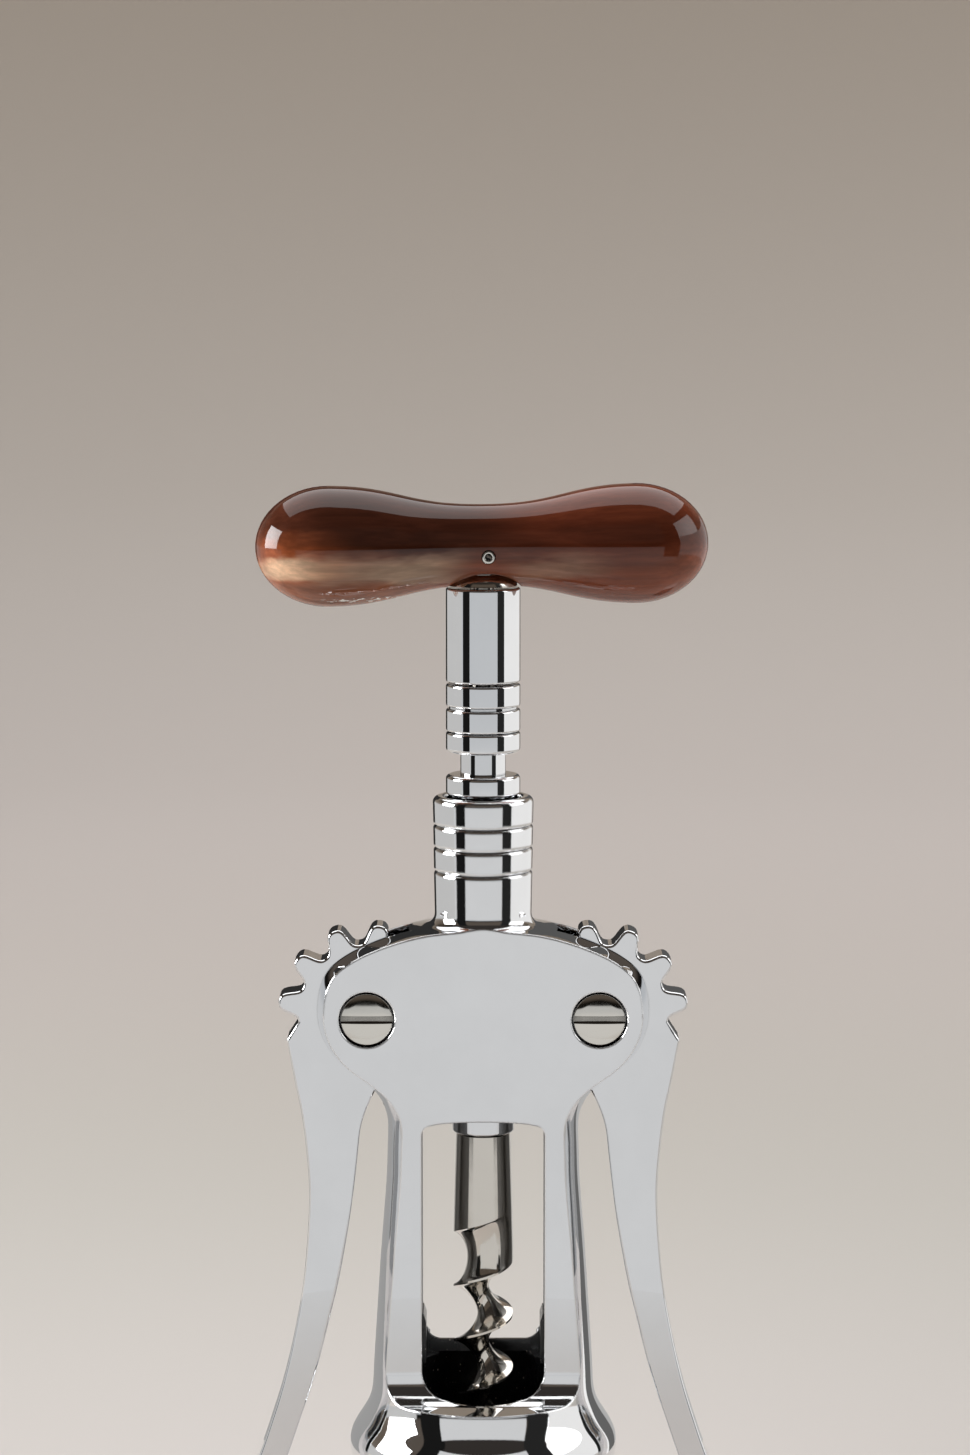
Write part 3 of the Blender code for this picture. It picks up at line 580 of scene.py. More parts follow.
def add(tree, kind, sockets=None, **settings):
    """Add a shader node with its settings, and values or links on its sockets."""
    item = tree.nodes.new("ShaderNode" + kind)
    for key, value in settings.items():
        setattr(item, key, value)
    fill(tree, item.inputs, sockets or {})
    return item


def start_finish(name):
    """A new material with its tree, its shader and the object's coordinates."""
    surface = bpy.data.materials.new(name)
    surface.use_nodes = True
    tree = surface.node_tree
    return surface, tree, tree.nodes["Principled BSDF"], add(tree, "TexCoord").outputs["Object"]


def set_shader(tree, shader, **values):
    """Set or link the shader's sockets; a low line in a name stands for a space."""
    fill(tree, shader.inputs, {
        key.replace("_", " ").title().replace("Ior", "IOR"): value for key, value in values.items()})


def spread(tree, value, low, high, to_low, to_high):
    """Stretch a value's range, with soft ends."""
    return add(
        tree, "MapRange",
        {"Value": value, "From Min": low, "From Max": high, "To Min": to_low, "To Max": to_high},
        interpolation_type="SMOOTHSTEP").outputs["Result"]


def noise(tree, vector, scale, detail=2, roughness=0.5):
    return add(
        tree, "TexNoise",
        {"Vector": vector, "Scale": scale, "Detail": detail, "Roughness": roughness}).outputs["Fac"]


def stretched(tree, vector, scale, turn=(0, 0, 0)):
    """Coordinates scaled unevenly, for streaks."""
    return add(tree, "Mapping", {"Vector": vector, "Scale": scale, "Rotation": turn}).outputs["Vector"]


def streaks(tree, vector, scale, detail, roughness=0.5):
    """Noise that is drawn out along the axis with the least scale."""
    return noise(tree, stretched(tree, vector, scale), 1, detail, roughness)


def split(tree, vector):
    return add(tree, "SeparateXYZ", {"Vector": vector}).outputs


def blend(tree, share, first, second):
    """Mix two colours, each a row of three or a socket."""
    first, second = (
        colour if isinstance(colour, bpy.types.NodeSocket) else (*colour, 1) for colour in (first, second))
    return add(tree, "Mix", {0: share, 6: first, 7: second}, data_type="RGBA").outputs[2]


def combine(tree, operation, value, *others):
    """Join values in turn by a sum of one step."""
    for other in others:
        value = add(tree, "Math", {0: value, 1: other}, operation=operation).outputs["Value"]
    return value


def plus(tree, *values):
    return combine(tree, "ADD", *values)


def times(tree, *values):
    return combine(tree, "MULTIPLY", *values)


def patch(tree, x, z, windows):
    """One inside a window of x and one of z, with soft sides, and nought outside them."""
    return times(tree, *(
        times(tree, spread(tree, value, low, rise, 0, 1), spread(tree, value, fall, high, 1, 0))
        for value, (low, rise, fall, high) in zip((x, z), windows)))


def set_relief(tree, shader, height, strength, depth=RELIEF):
    """Raise the surface by a height, and give back the bump node."""
    bump = add(tree, "Bump", {"Height": height, "Strength": strength, "Distance": depth})
    set_shader(tree, shader, normal=bump.outputs["Normal"])
    return bump


def inside_window(tree, place, sizes):
    """One on the walls inside the frame's window, and nought elsewhere."""
    away = split(tree, add(tree, "VectorMath", {0: place}, operation="ABSOLUTE").outputs["Vector"])
    limits = {
        "X": sizes.window_half_width + GAP / 10, "Y": sizes.flat_depth - GAP,
        "Z": WINDOW_TOP + 2 * WINDOW_ARCH}
    return times(tree, *(combine(tree, "LESS_THAN", away[axis], end) for axis, end in limits.items()))


def metal_finish(name, colour, rough_low, rough_high, streak, painted_shade, casting):
    """Polished metal with faint wipes and fine scratches, and with painted shade darkening its narrow gaps.

    With a casting's sizes its edges are softly broken, and the walls inside its window are rougher and
    painted darker, partly as their own duller metal and partly as painted shade.
    """
    surface, tree, shader, place = start_finish(name)
    wipes = noise(tree, place, 70, 4, 0.6)
    hairs = streaks(tree, place, streak, 3, 0.7)
    rough = plus(
        tree, spread(tree, wipes, 0.35, 0.75, rough_low, rough_high),
        spread(tree, hairs, 0.55, 0.8, 0, (rough_high - rough_low) / 2))
    tint = blend(tree, spread(tree, wipes, 0.3, 0.7, 0, 1), colour, [c * WIPE_SHARE for c in colour])
    # Painted shade: the colour darkens where ambient occlusion finds narrow gaps, slots and bores.
    if painted_shade:
        reach, shut, clear = painted_shade
        openness = add(tree, "AmbientOcclusion", {"Distance": reach}, samples=6).outputs["AO"]
        tint = blend(
            tree, spread(tree, openness, shut, clear, 1, 0), tint, [c * PAINTED_SHADE_SHARE for c in colour])
    height = plus(tree, noise(tree, place, 110, 1), times(tree, hairs, 0.02))
    bump = set_relief(tree, shader, height, 0.04)
    if casting:
        # Inside the window the walls are rougher and painted darker: partly their duller metal, partly
        # painted shade in the recess.
        inside = inside_window(tree, place, casting)
        tint = blend(tree, inside, tint, [c * WINDOW_SHADE_SHARE for c in colour])
        rough = plus(tree, rough, times(tree, inside, DULL_ROUGHNESS))
        edges = add(tree, "Bevel", {"Radius": casting.frame_edge}, samples=6)
        tree.links.new(edges.outputs["Normal"], bump.inputs["Normal"])
    set_shader(tree, shader, base_color=tint, metallic=1, roughness=rough)
    return surface


def metal(kind, colours, casting=None):
    """The finish of a kind of metal, made once; a casting has one of its own."""
    name, *rest = METALS[kind]
    if casting:
        name += " casting"
    return bpy.data.materials.get(name) or metal_finish(name, getattr(colours, kind), *rest, casting)


def horn_finish(colours, turn):
    """Polished horn: darker above and lighter, redder below, partly its own layers and partly painted light
    from below; a pale streak near one end, a painted glow of light through its left end, and painted glints
    along its lower left.
    """
    surface, tree, shader, place = start_finish("polished horn")
    along = stretched(tree, place, (1, 1, 1), (0, 0, -turn))
    layers = streaks(tree, along, (28, 190, 260), 4, 0.55)
    threads = streaks(tree, along, (60, 1100, 1400), 3, 0.6)
    clouds = streaks(tree, along, (60, 110, 230), 3, 0.55)
    parts = split(tree, along)
    x, level = parts["X"], plus(tree, parts["Z"], -HANDLE_HEIGHT)
    z = plus(tree, level, times(tree, plus(tree, clouds, -0.5), HORN_WAVER))
    # The lower colours are lighter and redder than the upper ones: partly the horn's own layers, partly
    # painted light from the floor below.
    upper = blend(tree, spread(tree, x, -0.004, 0.010, 0, 1), colours.horn_dark, colours.horn_brown)
    lower = blend(tree, spread(tree, x, -0.015, -0.002, 0, 1), colours.horn_clear, colours.horn_red)
    body = blend(tree, spread(tree, z, -0.0030, 0.0006, 1, 0), upper, lower)
    leaning = plus(tree, z, times(tree, plus(tree, x, 0.020), -HORN_LEAN))
    streak = plus(
        tree, patch(tree, x, leaning, HORN_STREAK), times(tree, patch(tree, x, z, HORN_SECOND_STREAK), 0.4))
    streak = times(tree, streak, spread(tree, clouds, 0.35, 0.6, 0.6, 1))
    body = blend(tree, streak, body, colours.horn_pale)
    # Painted glow at the left end: partly the horn's amber and red, partly painted light shining through it.
    body = blend(tree, patch(tree, x, z, HORN_PAINTED_GLOW), body, colours.horn_painted_glow)
    body = blend(tree, patch(tree, x, z, HORN_PAINTED_GLOW_SPOT), body, colours.horn_amber_painted_glow)
    shade = times(
        tree, spread(tree, layers, 0.32, 0.68, 0.68, 1.22), spread(tree, threads, 0.35, 0.7, 0.9, 1.12))
    body = add(tree, "VectorMath", {0: body, 3: shade}, operation="SCALE").outputs["Vector"]
    # Painted glints: tiny pale specks of reflected light along the lower left.
    fine = streaks(tree, along, (900, 1800, 1800), 2)
    glints = times(tree, patch(tree, x, level, HORN_GLINTS), spread(tree, fine, 0.54, 0.60, 0, 1))
    body = blend(tree, glints, body, colours.horn_glints)
    set_relief(tree, shader, plus(tree, times(tree, threads, 0.2), noise(tree, place, 120, 1)), 0.12)
    set_shader(
        tree, shader, base_color=body, roughness=0.5, specular_ior_level=0, coat_weight=0.85,
        coat_roughness=0.035, coat_ior=1.5)
    return surface


def lining_finish(colours):
    """Glossy black moulding with specks of dust."""
    surface, tree, shader, place = start_finish("black lining")
    cells = add(tree, "TexVoronoi", {"Vector": place, "Scale": 1050, "Randomness": 1})
    lone = spread(tree, noise(tree, place, 600, 1), 0.55, 0.63, 0, 1)
    speck = times(tree, spread(tree, cells.outputs["Distance"], 0.10, 0.22, 1, 0), lone)
    set_relief(tree, shader, speck, 0.4, RELIEF / 2)
    set_shader(
        tree, shader, base_color=blend(tree, speck, colours.lining, colours.dust),
        roughness=spread(tree, noise(tree, place, 150, 4), 0.3, 0.7, 0.18, 0.34), coat_weight=0.3,
        coat_roughness=0.1)
    return surface


def upper_edge(radius, height, edge, steps=5):
    """A turned outline's rounded edge at its top, from the middle out."""
    return arc((radius - edge, height - edge), edge, 90, 0, steps)


def lower_edge(radius, height, edge):
    """A turned outline's rounded edge at its foot, from the outside in."""
    return arc((radius - edge, height + edge), edge, 0, -90)


def groove(radius, height, flat, depth, edge):
    """A cut in a turned surface, from top to bottom, with rounded edges."""
    top, low = height + flat / 2, height - flat / 2
    return [
        *arc((radius - edge, top + edge), edge, 0, -90, 6), (radius - depth, top), (radius - depth, low),
        *arc((radius - edge, low - edge), edge, 90, 0, 6)]


def groove_heights():
    """The rack's grooves, one for each tooth of a wing."""
    pitch_angle = 2 * pi / TEETH_PER_TURN
    return [PIVOT_HEIGHT + PITCH_RADIUS * (FIRST_TOOTH_ANGLE + k * pitch_angle) for k in range(TOOTH_COUNT)]


def between(shares, start, end):
    """Points between two of (radius, height), by shares of the way in each."""
    return [(start[0] + (end[0] - start[0]) * r, start[1] + (end[1] - start[1]) * z) for r, z in shares]


def frame_outline(edge):
    """The casting's profile: down its outside from the collar, then up its bores."""
    spindle = RACK_RADIUS + GAP
    collar = [
        *arc((spindle + edge, COLLAR_TOP - edge), edge, 180, 90),
        *upper_edge(COLLAR_RADIUS, COLLAR_TOP, COLLAR_EDGE, 8)]
    run = COLLAR_TOP - COLLAR_BASE
    for height in COLLAR_LINE_HEIGHTS:
        radius = COLLAR_RADIUS - COLLAR_TAPER * (COLLAR_TOP - height) / run
        collar += groove(radius, height, 0, COLLAR_LINE_EDGE, COLLAR_LINE_EDGE)
    foot = COLLAR_RADIUS - COLLAR_TAPER
    collar += arc((foot + COLLAR_FILLET, COLLAR_BASE + COLLAR_FILLET), COLLAR_FILLET, 180, 260, 10)
    head = between(HEAD_SHARES, (0, WAIST_HEIGHT), (HEAD_RADIUS, COLLAR_BASE))
    waist = (WAIST_RADIUS, WAIST_HEIGHT)
    shelf = (SHELF_RADIUS, SHELF_HEIGHT)
    bead = (SHOULDER_BEAD_RADIUS, SHOULDER_BEAD_HEIGHT)
    drop = SHOULDER_BEAD_RADIUS - BELL_RADIUS
    flank = flowing([
        collar[-1], *head, waist, *between(COLUMN_SHARES, waist, shelf), shelf,
        *between(FLARE_SHARES, shelf, bead), bead, (SHOULDER_BEAD_RADIUS - drop / 3, bead[1] - 2 * drop),
        (BELL_RADIUS, bead[1] - 5 * drop), (BELL_RADIUS, bead[1] - 9 * drop)], FRAME_STEP, FRAME_PASSES)
    bell = [
        (BELL_RADIUS, BELL_RIM_HEIGHT + 2 * BELL_EDGE),
        *arc((BELL_RIM_RADIUS - edge, BELL_RIM_HEIGHT - edge), edge, 60, 0),
        *lower_edge(BELL_RIM_RADIUS, 0, BELL_EDGE),
        *arc((BELL_BORE_RADIUS + edge, edge), edge, 270, 180)]
    bores = [
        (BELL_BORE_RADIUS, BELL_BORE_TOP), (NECK_BORE_RADIUS, NECK_BORE_BOTTOM),
        (NECK_BORE_RADIUS, NECK_BORE_TOP), (spindle, NECK_BORE_TOP)]
    return [*collar, *flank[1:], *bell, *bores]


def flat_cutter(side, flat_depth):
    """Cuts one flat with its cove and shelf; side is -1 for the front and 1 for the back."""
    outer = HEAD_RADIUS + OVERRUN
    top = COLLAR_TOP + OVERRUN
    outline = rounded([
        (side * flat_depth, top, 0), (side * flat_depth, SHELF_HEIGHT, COVE_RADIUS),
        (side * outer, SHELF_HEIGHT, 0), (side * outer, top, 0)], steps=24)
    return prism("flat cutter", outline, -outer, outer, "X")


def window_cutter(half):
    """The window, with a slightly arched top."""
    corner = WINDOW_TOP_ROUND
    rise = [
        ((half - corner) * cos(a), WINDOW_TOP + WINDOW_ARCH * sin(a))
        for a in (radians(9 * k) for k in range(1, 20))]
    outline = rounded([
        (-half, WINDOW_BOTTOM, WINDOW_BOTTOM_ROUND), (half, WINDOW_BOTTOM, WINDOW_BOTTOM_ROUND),
        (half, WINDOW_TOP, corner)] + [(x, z, 0) for x, z in rise] + [(-half, WINDOW_TOP, corner)])
    return prism("window cutter", outline, -HEAD_RADIUS, HEAD_RADIUS)


def mouth_cutter(half):
    """Opens the window's foot down the cove at the front."""
    half -= GAP / 10
    middle = (WINDOW_TOP + WINDOW_BOTTOM) / 2
    outline = rounded([
        (-half, MOUTH_BOTTOM, WINDOW_BOTTOM_ROUND), (half, MOUTH_BOTTOM, WINDOW_BOTTOM_ROUND),
        (half, middle, 0), (-half, middle, 0)])
    return prism("mouth cutter", outline, -NECK_BORE_RADIUS, 0)


def slot_cutter(side, thickness):
    """The slot that a wing swings in: round its teeth, and open to the outside."""
    radius = TIP_RADIUS + SLOT_TIP_CLEARANCE
    half = thickness / 2 + GAP
    far = HEAD_RADIUS + OVERRUN
    top = COLLAR_BASE + OVERRUN
    start = radians(-90) + (PIVOT_OFFSET - SLOT_INNER_EDGE) / radius
    edge = [
        (side * (PIVOT_OFFSET - radius * cos(start + turn)), PIVOT_HEIGHT + radius * sin(start + turn))
        for turn in (radians(2 * k) for k in range(88))]
    outline = [
        (side * SLOT_INNER_EDGE, SLOT_BOTTOM), *edge, (side * PIVOT_OFFSET, top), (side * far, top),
        (side * far, SLOT_BOTTOM)]
    return prism("slot cutter", outline, -half, half)


def pivot_line(side):
    """The middle of a wing's pivot and its axis."""
    return (side * PIVOT_OFFSET, 0, PIVOT_HEIGHT), (0, 1, 0)


def screw_hole_cutter(side, flat_depth):
    """A through hole with a counterbore for the head at the front."""
    hole = SCREW_SHANK_RADIUS + GAP
    head = SCREW_HEAD_RADIUS + GAP
    floor = -flat_depth + SCREW_RECESS + SCREW_HEAD_HEIGHT + GAP
    reach = flat_depth + OVERRUN
    outline = [(0, reach), (hole, reach), (hole, floor), (head, floor), (head, -reach), (0, -reach)]
    return turned("screw hole cutter", outline, BORE_SIDES, *pivot_line(side))


def make_frame(sizes, colours):
    piece = turned("frame_casting", frame_outline(sizes.edge), sizes.turn_sides)
    depth, half = sizes.flat_depth, sizes.window_half_width
    carve(
        piece, both_sides(flat_cutter, depth), window_cutter(half), mouth_cutter(half),
        both_sides(slot_cutter, sizes.wing_thickness), both_sides(screw_hole_cutter, depth))
    dress(piece, metal("chrome", colours, sizes), "frame", "chrome", "frame")


def make_liner(sizes, colours):
    """The black lining, with a rim inside the neck and a straight sill where the window sees through."""
    outer = BELL_BORE_RADIUS - GAP
    neck = NECK_BORE_RADIUS - GAP
    rise = (LINER_MOUTH_RADIUS - LINER_BORE_RADIUS) / 2
    edge = sizes.edge / 2
    outline = [
        (0, SILL_SIDE_TOP), (neck, SILL_SIDE_TOP), (neck, NECK_BORE_BOTTOM - GAP),
        (outer, BELL_BORE_TOP - GAP), (outer, LINER_FOOT), (LINER_MOUTH_RADIUS, LINER_FOOT),
        (LINER_MOUTH_RADIUS, LINER_SEAT_HEIGHT), (LINER_BORE_RADIUS, LINER_SEAT_HEIGHT + rise),
        *arc((LINER_BORE_RADIUS + edge, LINER_RIM_HEIGHT - edge), edge, 180, 90),
        (LINER_BORE_RADIUS + edge, LINER_RIM_HEIGHT + edge), (0, LINER_RIM_HEIGHT + edge)]
    piece = turned("bell_lining", outline, sizes.turn_sides)
    far = HEAD_RADIUS
    wide, narrow = sizes.window_half_width - GAP / 3, sizes.window_half_width - 2 * GAP
    knee = SILL_HEIGHT + SILL_ROUND
    sill = rounded([
        (-narrow, SILL_HEIGHT, SILL_ROUND), (narrow, SILL_HEIGHT, SILL_ROUND), (narrow, knee + SILL_ROUND, 0),
        (wide, SILL_SIDE_TOP + GAP, 0), (-wide, SILL_SIDE_TOP + GAP, 0), (-narrow, knee + SILL_ROUND, 0)])
    throat = oblong(-narrow, narrow, LINER_RIM_HEIGHT, knee)
    carve(
        piece,
        prism("liner front cutter", oblong(-far, far, LINER_FRONT_TOP, WINDOW_TOP), -far, -GAP),
        prism("liner back cutter", oblong(-far, far, SILL_BACK_HEIGHT, WINDOW_TOP), SILL_BACK, far),
        prism("liner sill cutter", sill, -far, far),
        prism("liner throat cutter", throat, -far, SILL_FRONT))
    dress(piece, lining_finish(colours), "frame", "black_plastic", "bell_liner")


def tooth_radius(angle):
    """The sector's outline in polar form: round-tipped teeth on the pitch, then the root circle."""
    middle = (TIP_RADIUS + ROOT_RADIUS) / 2
    half = (TIP_RADIUS - ROOT_RADIUS) / 2
    wave = cos(TEETH_PER_TURN * (angle - FIRST_TOOTH_ANGLE))
    return middle + half * tanh(TOOTH_SQUARENESS * wave) / tanh(TOOTH_SQUARENESS)


def wing_outline(side):
    """The wing's closed outline about its pivot, in the XZ plane."""
    half_pitch = pi / TEETH_PER_TURN
    first = FIRST_TOOTH_ANGLE - half_pitch
    last = first + 2 * half_pitch * TOOTH_COUNT
    steps = TOOTH_COUNT * TOOTH_STEPS
    teeth = []
    for k in range(steps + 1):
        angle = first + (last - first) * k / steps
        teeth.append((-tooth_radius(angle) * cos(angle), tooth_radius(angle) * sin(angle)))
    rows = [(-ARM_LENGTH * d, ARM_LENGTH * c, ARM_ROOT_WIDTH * w / 2) for d, c, w in ARM_SHARES]
    inner, outer = (
        flowing([(c + sign * w, z) for z, c, w in rows], WING_STEP, WING_PASSES) for sign in (-1, 1))
    end_z, end_c, end_w = rows[-1]
    back_z, back_c, _ = rows[-2]
    lean = atan2(end_c - back_c, back_z - end_z)
    end = [
        (end_c + end_w * cos(a - lean * sin(a)), end_z + end_w * sin(a - lean * sin(a)))
        for a in (radians(-180 + 9 * k) for k in range(1, 20))]
    hub = [
        (-ROOT_RADIUS * cos(a), ROOT_RADIUS * sin(a))
        for a in (first - radians(3.5) * k for k in range(16, 0, -1))]
    notch = (-NOTCH_RADIUS * cos(NOTCH_ANGLE), NOTCH_RADIUS * sin(NOTCH_ANGLE))
    shoulder = (-SHOULDER_RADIUS * cos(SHOULDER_ANGLE), SHOULDER_RADIUS * sin(SHOULDER_ANGLE))
    corner = rounded([(*notch, 0), (*shoulder, WING_SHOULDER_ROUND), (*outer[0], 0)])[1:-1]
    path = [*teeth, *corner, *outer, *reversed(end), *reversed(inner), *hub]
    return [(side * x, z) for x, z in path]


def make_wing(side, word, sizes, colours):
    """A flat plate with edges rounded by small insets, toothed round its pivot hole."""
    outline = [(side * PIVOT_OFFSET + x, PIVOT_HEIGHT + z) for x, z in wing_outline(side)]
    half = sizes.wing_thickness / 2
    edge = sizes.wing_edge
    piece = prism(word + "_wing", outline, -half + edge, half - edge)
    bpy.ops.object.mode_set(mode="EDIT")
    bpy.ops.mesh.select_mode(type="FACE")
    for sign in (-1, 1):
        bpy.ops.mesh.select_all(action="DESELECT")
        bpy.ops.object.mode_set(mode="OBJECT")
        for face in piece.data.polygons:
            face.select = face.normal.y * sign > 0.9
        bpy.ops.object.mode_set(mode="EDIT")
        for k in range(WING_EDGE_STEPS):
            a, b = (radians(90 * step / WING_EDGE_STEPS) for step in (k, k + 1))
            bpy.ops.mesh.inset(
                thickness=edge * (cos(a) - cos(b)), depth=edge * (sin(b) - sin(a)), use_even_offset=True,
                use_boundary=True)
    close_shape(piece)
    reach = sizes.wing_thickness
    carve(piece, rod(
        "pivot hole cutter", SCREW_SHANK_RADIUS + GAP, -reach, reach, BORE_SIDES, *pivot_line(side)))
    dress(piece, metal("chrome", colours), "wing_" + word, "chrome", "wing_" + word)


def make_wings(*settings):
    make_wing(-1, "left", *settings)
    make_wing(1, "right", *settings)


def make_screw(side, word, sizes, colours):
    """A slotted screw with a softly broken edge, and a plain shank to the back flat."""
    front = -sizes.flat_depth + SCREW_RECESS
    under = front + SCREW_HEAD_HEIGHT
    back = sizes.flat_depth - SCREW_RECESS
    edge = sizes.edge * SCREW_EDGE_SHARE
    head = SCREW_HEAD_RADIUS
    outline = [
        (0, back), *upper_edge(SCREW_SHANK_RADIUS, back, edge), (SCREW_SHANK_RADIUS, under), (head, under),
        *arc((head - edge, front + edge), edge, 0, -85),
        *((head * (1 - k / 10), front - SCREW_DOME * (1 - (1 - k / 10) ** 2)) for k in range(2, 11))]
    piece = turned(word + "_screw", outline, PART_SIDES, *pivot_line(side))
    middle, half = side * PIVOT_OFFSET, SCREW_SLOT_WIDTH / 2
    slot = oblong(middle - 2 * head, middle + 2 * head, PIVOT_HEIGHT - half, PIVOT_HEIGHT + half)
    carve(piece, prism("screw slot cutter", slot, front - OVERRUN, front + SCREW_SLOT_DEPTH))
    dress(piece, metal("nickel", colours), "frame", "nickel", "pivot_screw_" + word)


def make_screws(*settings):
    make_screw(-1, "left", *settings)
    make_screw(1, "right", *settings)


def make_rack(sizes, colours):
    """Bands at the top, a groove for each tooth with a ring below it, and a plain spigot at the foot."""
    bore = STEM_RADIUS + GAP
    edge = sizes.edge
    half_groove = (TOOTH_PITCH - RACK_RING_WIDTH) / 2
    outline = [(bore, RACK_TOP), *upper_edge(RACK_RADIUS, RACK_TOP, edge)]
    for height, flat in RACK_LINES:
        outline += groove(RACK_RADIUS, height, flat, RACK_LINE_DEPTH, edge)
    for height in reversed(groove_heights()):
        outline += groove(
            RACK_RADIUS, height, 2 * half_groove, RACK_RADIUS - RACK_NECK_RADIUS, RACK_RING_EDGE)
    bottom = groove_heights()[0] - half_groove - RACK_RING_WIDTH
    outline += [
        *lower_edge(RACK_RADIUS, bottom, edge), (RACK_SPIGOT_RADIUS, bottom),
        *lower_edge(RACK_SPIGOT_RADIUS, RACK_BOTTOM, edge), (bore, RACK_BOTTOM)]
    piece = turned("rack_of_rings", outline, PART_SIDES)
    dress(piece, metal("chrome", colours), "rack", "chrome", "ring_rack")


def make_ferrule(sizes, colours):
    bore = STEM_RADIUS + GAP
    bottom = RACK_TOP + GAP
    outline = [
        (bore, FERRULE_TOP), *upper_edge(RACK_RADIUS, FERRULE_TOP, sizes.edge),
        *lower_edge(RACK_RADIUS, bottom, sizes.edge), (bore, bottom)]
    piece = turned("ferrule_sleeve", outline, PART_SIDES)
    dress(piece, metal("chrome", colours), "spindle", "chrome", "ferrule")


def stem_top(sizes):
    return HANDLE_HEIGHT + sizes.handle_waist - STEM_TOP_COVER


def pin_line(sizes):
    """The cross pin's middle, its axis and a direction square to that."""
    turn = sizes.handle_turn
    return (0, 0, HANDLE_HEIGHT - PIN_DROP), (-sin(turn), cos(turn), 0), (cos(turn), sin(turn), 0)


def pin_hole_cutter(sizes):
    reach = sizes.handle_lobe
    return rod("pin hole cutter", PIN_RADIUS + GAP / 3, -reach, reach, SMALL_SIDES, *pin_line(sizes))


def make_stem(sizes, colours):
    """The rod that ties worm to handle, with a domed shoulder and a neck in the handle's recess."""
    crown = FERRULE_TOP + HANDLE_DIMPLE_DEPTH
    neck = FERRULE_TOP + GAP
    bottom = RACK_BOTTOM - STEM_SOCKET_DEPTH
    reach = STEM_SHOULDER_RADIUS - STEM_NECK_RADIUS
    shoulder = [
        (STEM_NECK_RADIUS + reach * sin(a), neck + STEM_SHOULDER_HEIGHT * cos(a))
        for a in (radians(6 * k) for k in range(16))]
    outline = [
        (0, stem_top(sizes)), (STEM_RADIUS, stem_top(sizes)), (STEM_RADIUS, crown),
        *upper_edge(STEM_NECK_RADIUS, crown, sizes.edge), *shoulder, (STEM_RADIUS, neck),
        (STEM_RADIUS, bottom), (0, bottom)]
    piece = turned("stem_rod", outline, BORE_SIDES)
    carve(piece, pin_hole_cutter(sizes))
    dress(piece, metal("steel", colours), "spindle", "steel", "stem")


def make_handle(sizes, colours):
    """The horn handle: two lobes turned along its own axis, hollowed for the stem's neck."""
    grow = sizes.handle_lobe - sizes.handle_waist
    half = sizes.handle_half_length
    rise = [(sizes.handle_waist + grow * g, half * d) for d, g in HANDLE_SHARES]
    start = rise[-1][1]
    end = [
        (sizes.handle_lobe * cos(a), start + (half - start) * sin(a))
        for a in (radians(6 * k) for k in range(1, 15))]
    mirrored = [(r, -d) for r, d in reversed(rise[1:])]
    body = flowing([*mirrored, *rise], HANDLE_STEP, HANDLE_PASSES)
    outline = [(0, -half), *((r, -d) for r, d in reversed(end)), *body, *end, (0, half)]
    turn = sizes.handle_turn
    piece = turned(
        "horn_handle", outline, HANDLE_SIDES, (0, 0, HANDLE_HEIGHT), (cos(turn), sin(turn), 0), (0, 0, 1))
    top, hole = stem_top(sizes) + GAP, STEM_RADIUS + GAP
    neck = (STEM_NECK_RADIUS + GAP, FERRULE_TOP + HANDLE_DIMPLE_DEPTH + GAP)
    rim = (HANDLE_DIMPLE_RADIUS, FERRULE_TOP + GAP)
    low = FERRULE_TOP - OVERRUN
    seat = [
        (0, top), (hole, top), (hole, neck[1]), neck,
        *between(DIMPLE_SHARES, (neck[0], rim[1]), (rim[0], neck[1])), rim, (rim[0], low), (0, low)]
    carve(piece, turned("handle seat cutter", seat, PART_SIDES), pin_hole_cutter(sizes))
    dress(piece, horn_finish(colours, turn), "spindle", "horn", "handle")


def make_pin(sizes, colours):
    """A rolled tubular pin through handle and stem."""
    reach = (sizes.handle_waist ** 2 - PIN_DROP ** 2) ** (1 / 2)
    edge = sizes.edge / 2
    inner = PIN_BORE_RADIUS + edge / 2
    outline = [
        *upper_edge(PIN_RADIUS, reach, edge), *lower_edge(PIN_RADIUS, -reach, edge),
        *arc((inner, edge / 2 - reach), edge / 2, -90, -180),
        *arc((inner, reach - edge / 2), edge / 2, 180, 90)]
    piece = turned("cross_pin", outline, BORE_SIDES, *pin_line(sizes))
    dress(piece, metal("nickel", colours), "spindle", "nickel", "handle_pin")


def worm_reach(phase, height, sizes):
    """The worm's radius at an angle round from its crest: a narrow land and a hollow flute that runs in."""
    flute = sin(min(phase / (2 * pi - WORM_LAND), 1) * pi) ** FLUTE_SQUARENESS
    crest_height = height + sizes.worm_pitch * phase / (2 * pi)
    cut_in = min(max((SHANK_END - crest_height) / FLUTE_RUN, 0), 1)
    taper = min((height - WORM_TIP) / WORM_TAPER, 1)
    above = max((height - SHANK_END) / (RACK_BOTTOM - SHANK_END), 0)
    below = min(max((SHANK_END - height) / FLUTE_RUN, 0), 1)
    shank = SHANK_END_RADIUS + (SHANK_TOP_RADIUS - SHANK_END_RADIUS) * above
    crest = shank + (sizes.worm_radius - SHANK_END_RADIUS) * below
    return (crest - (crest - sizes.worm_core) * flute * cut_in) * taper ** (2 / 3)


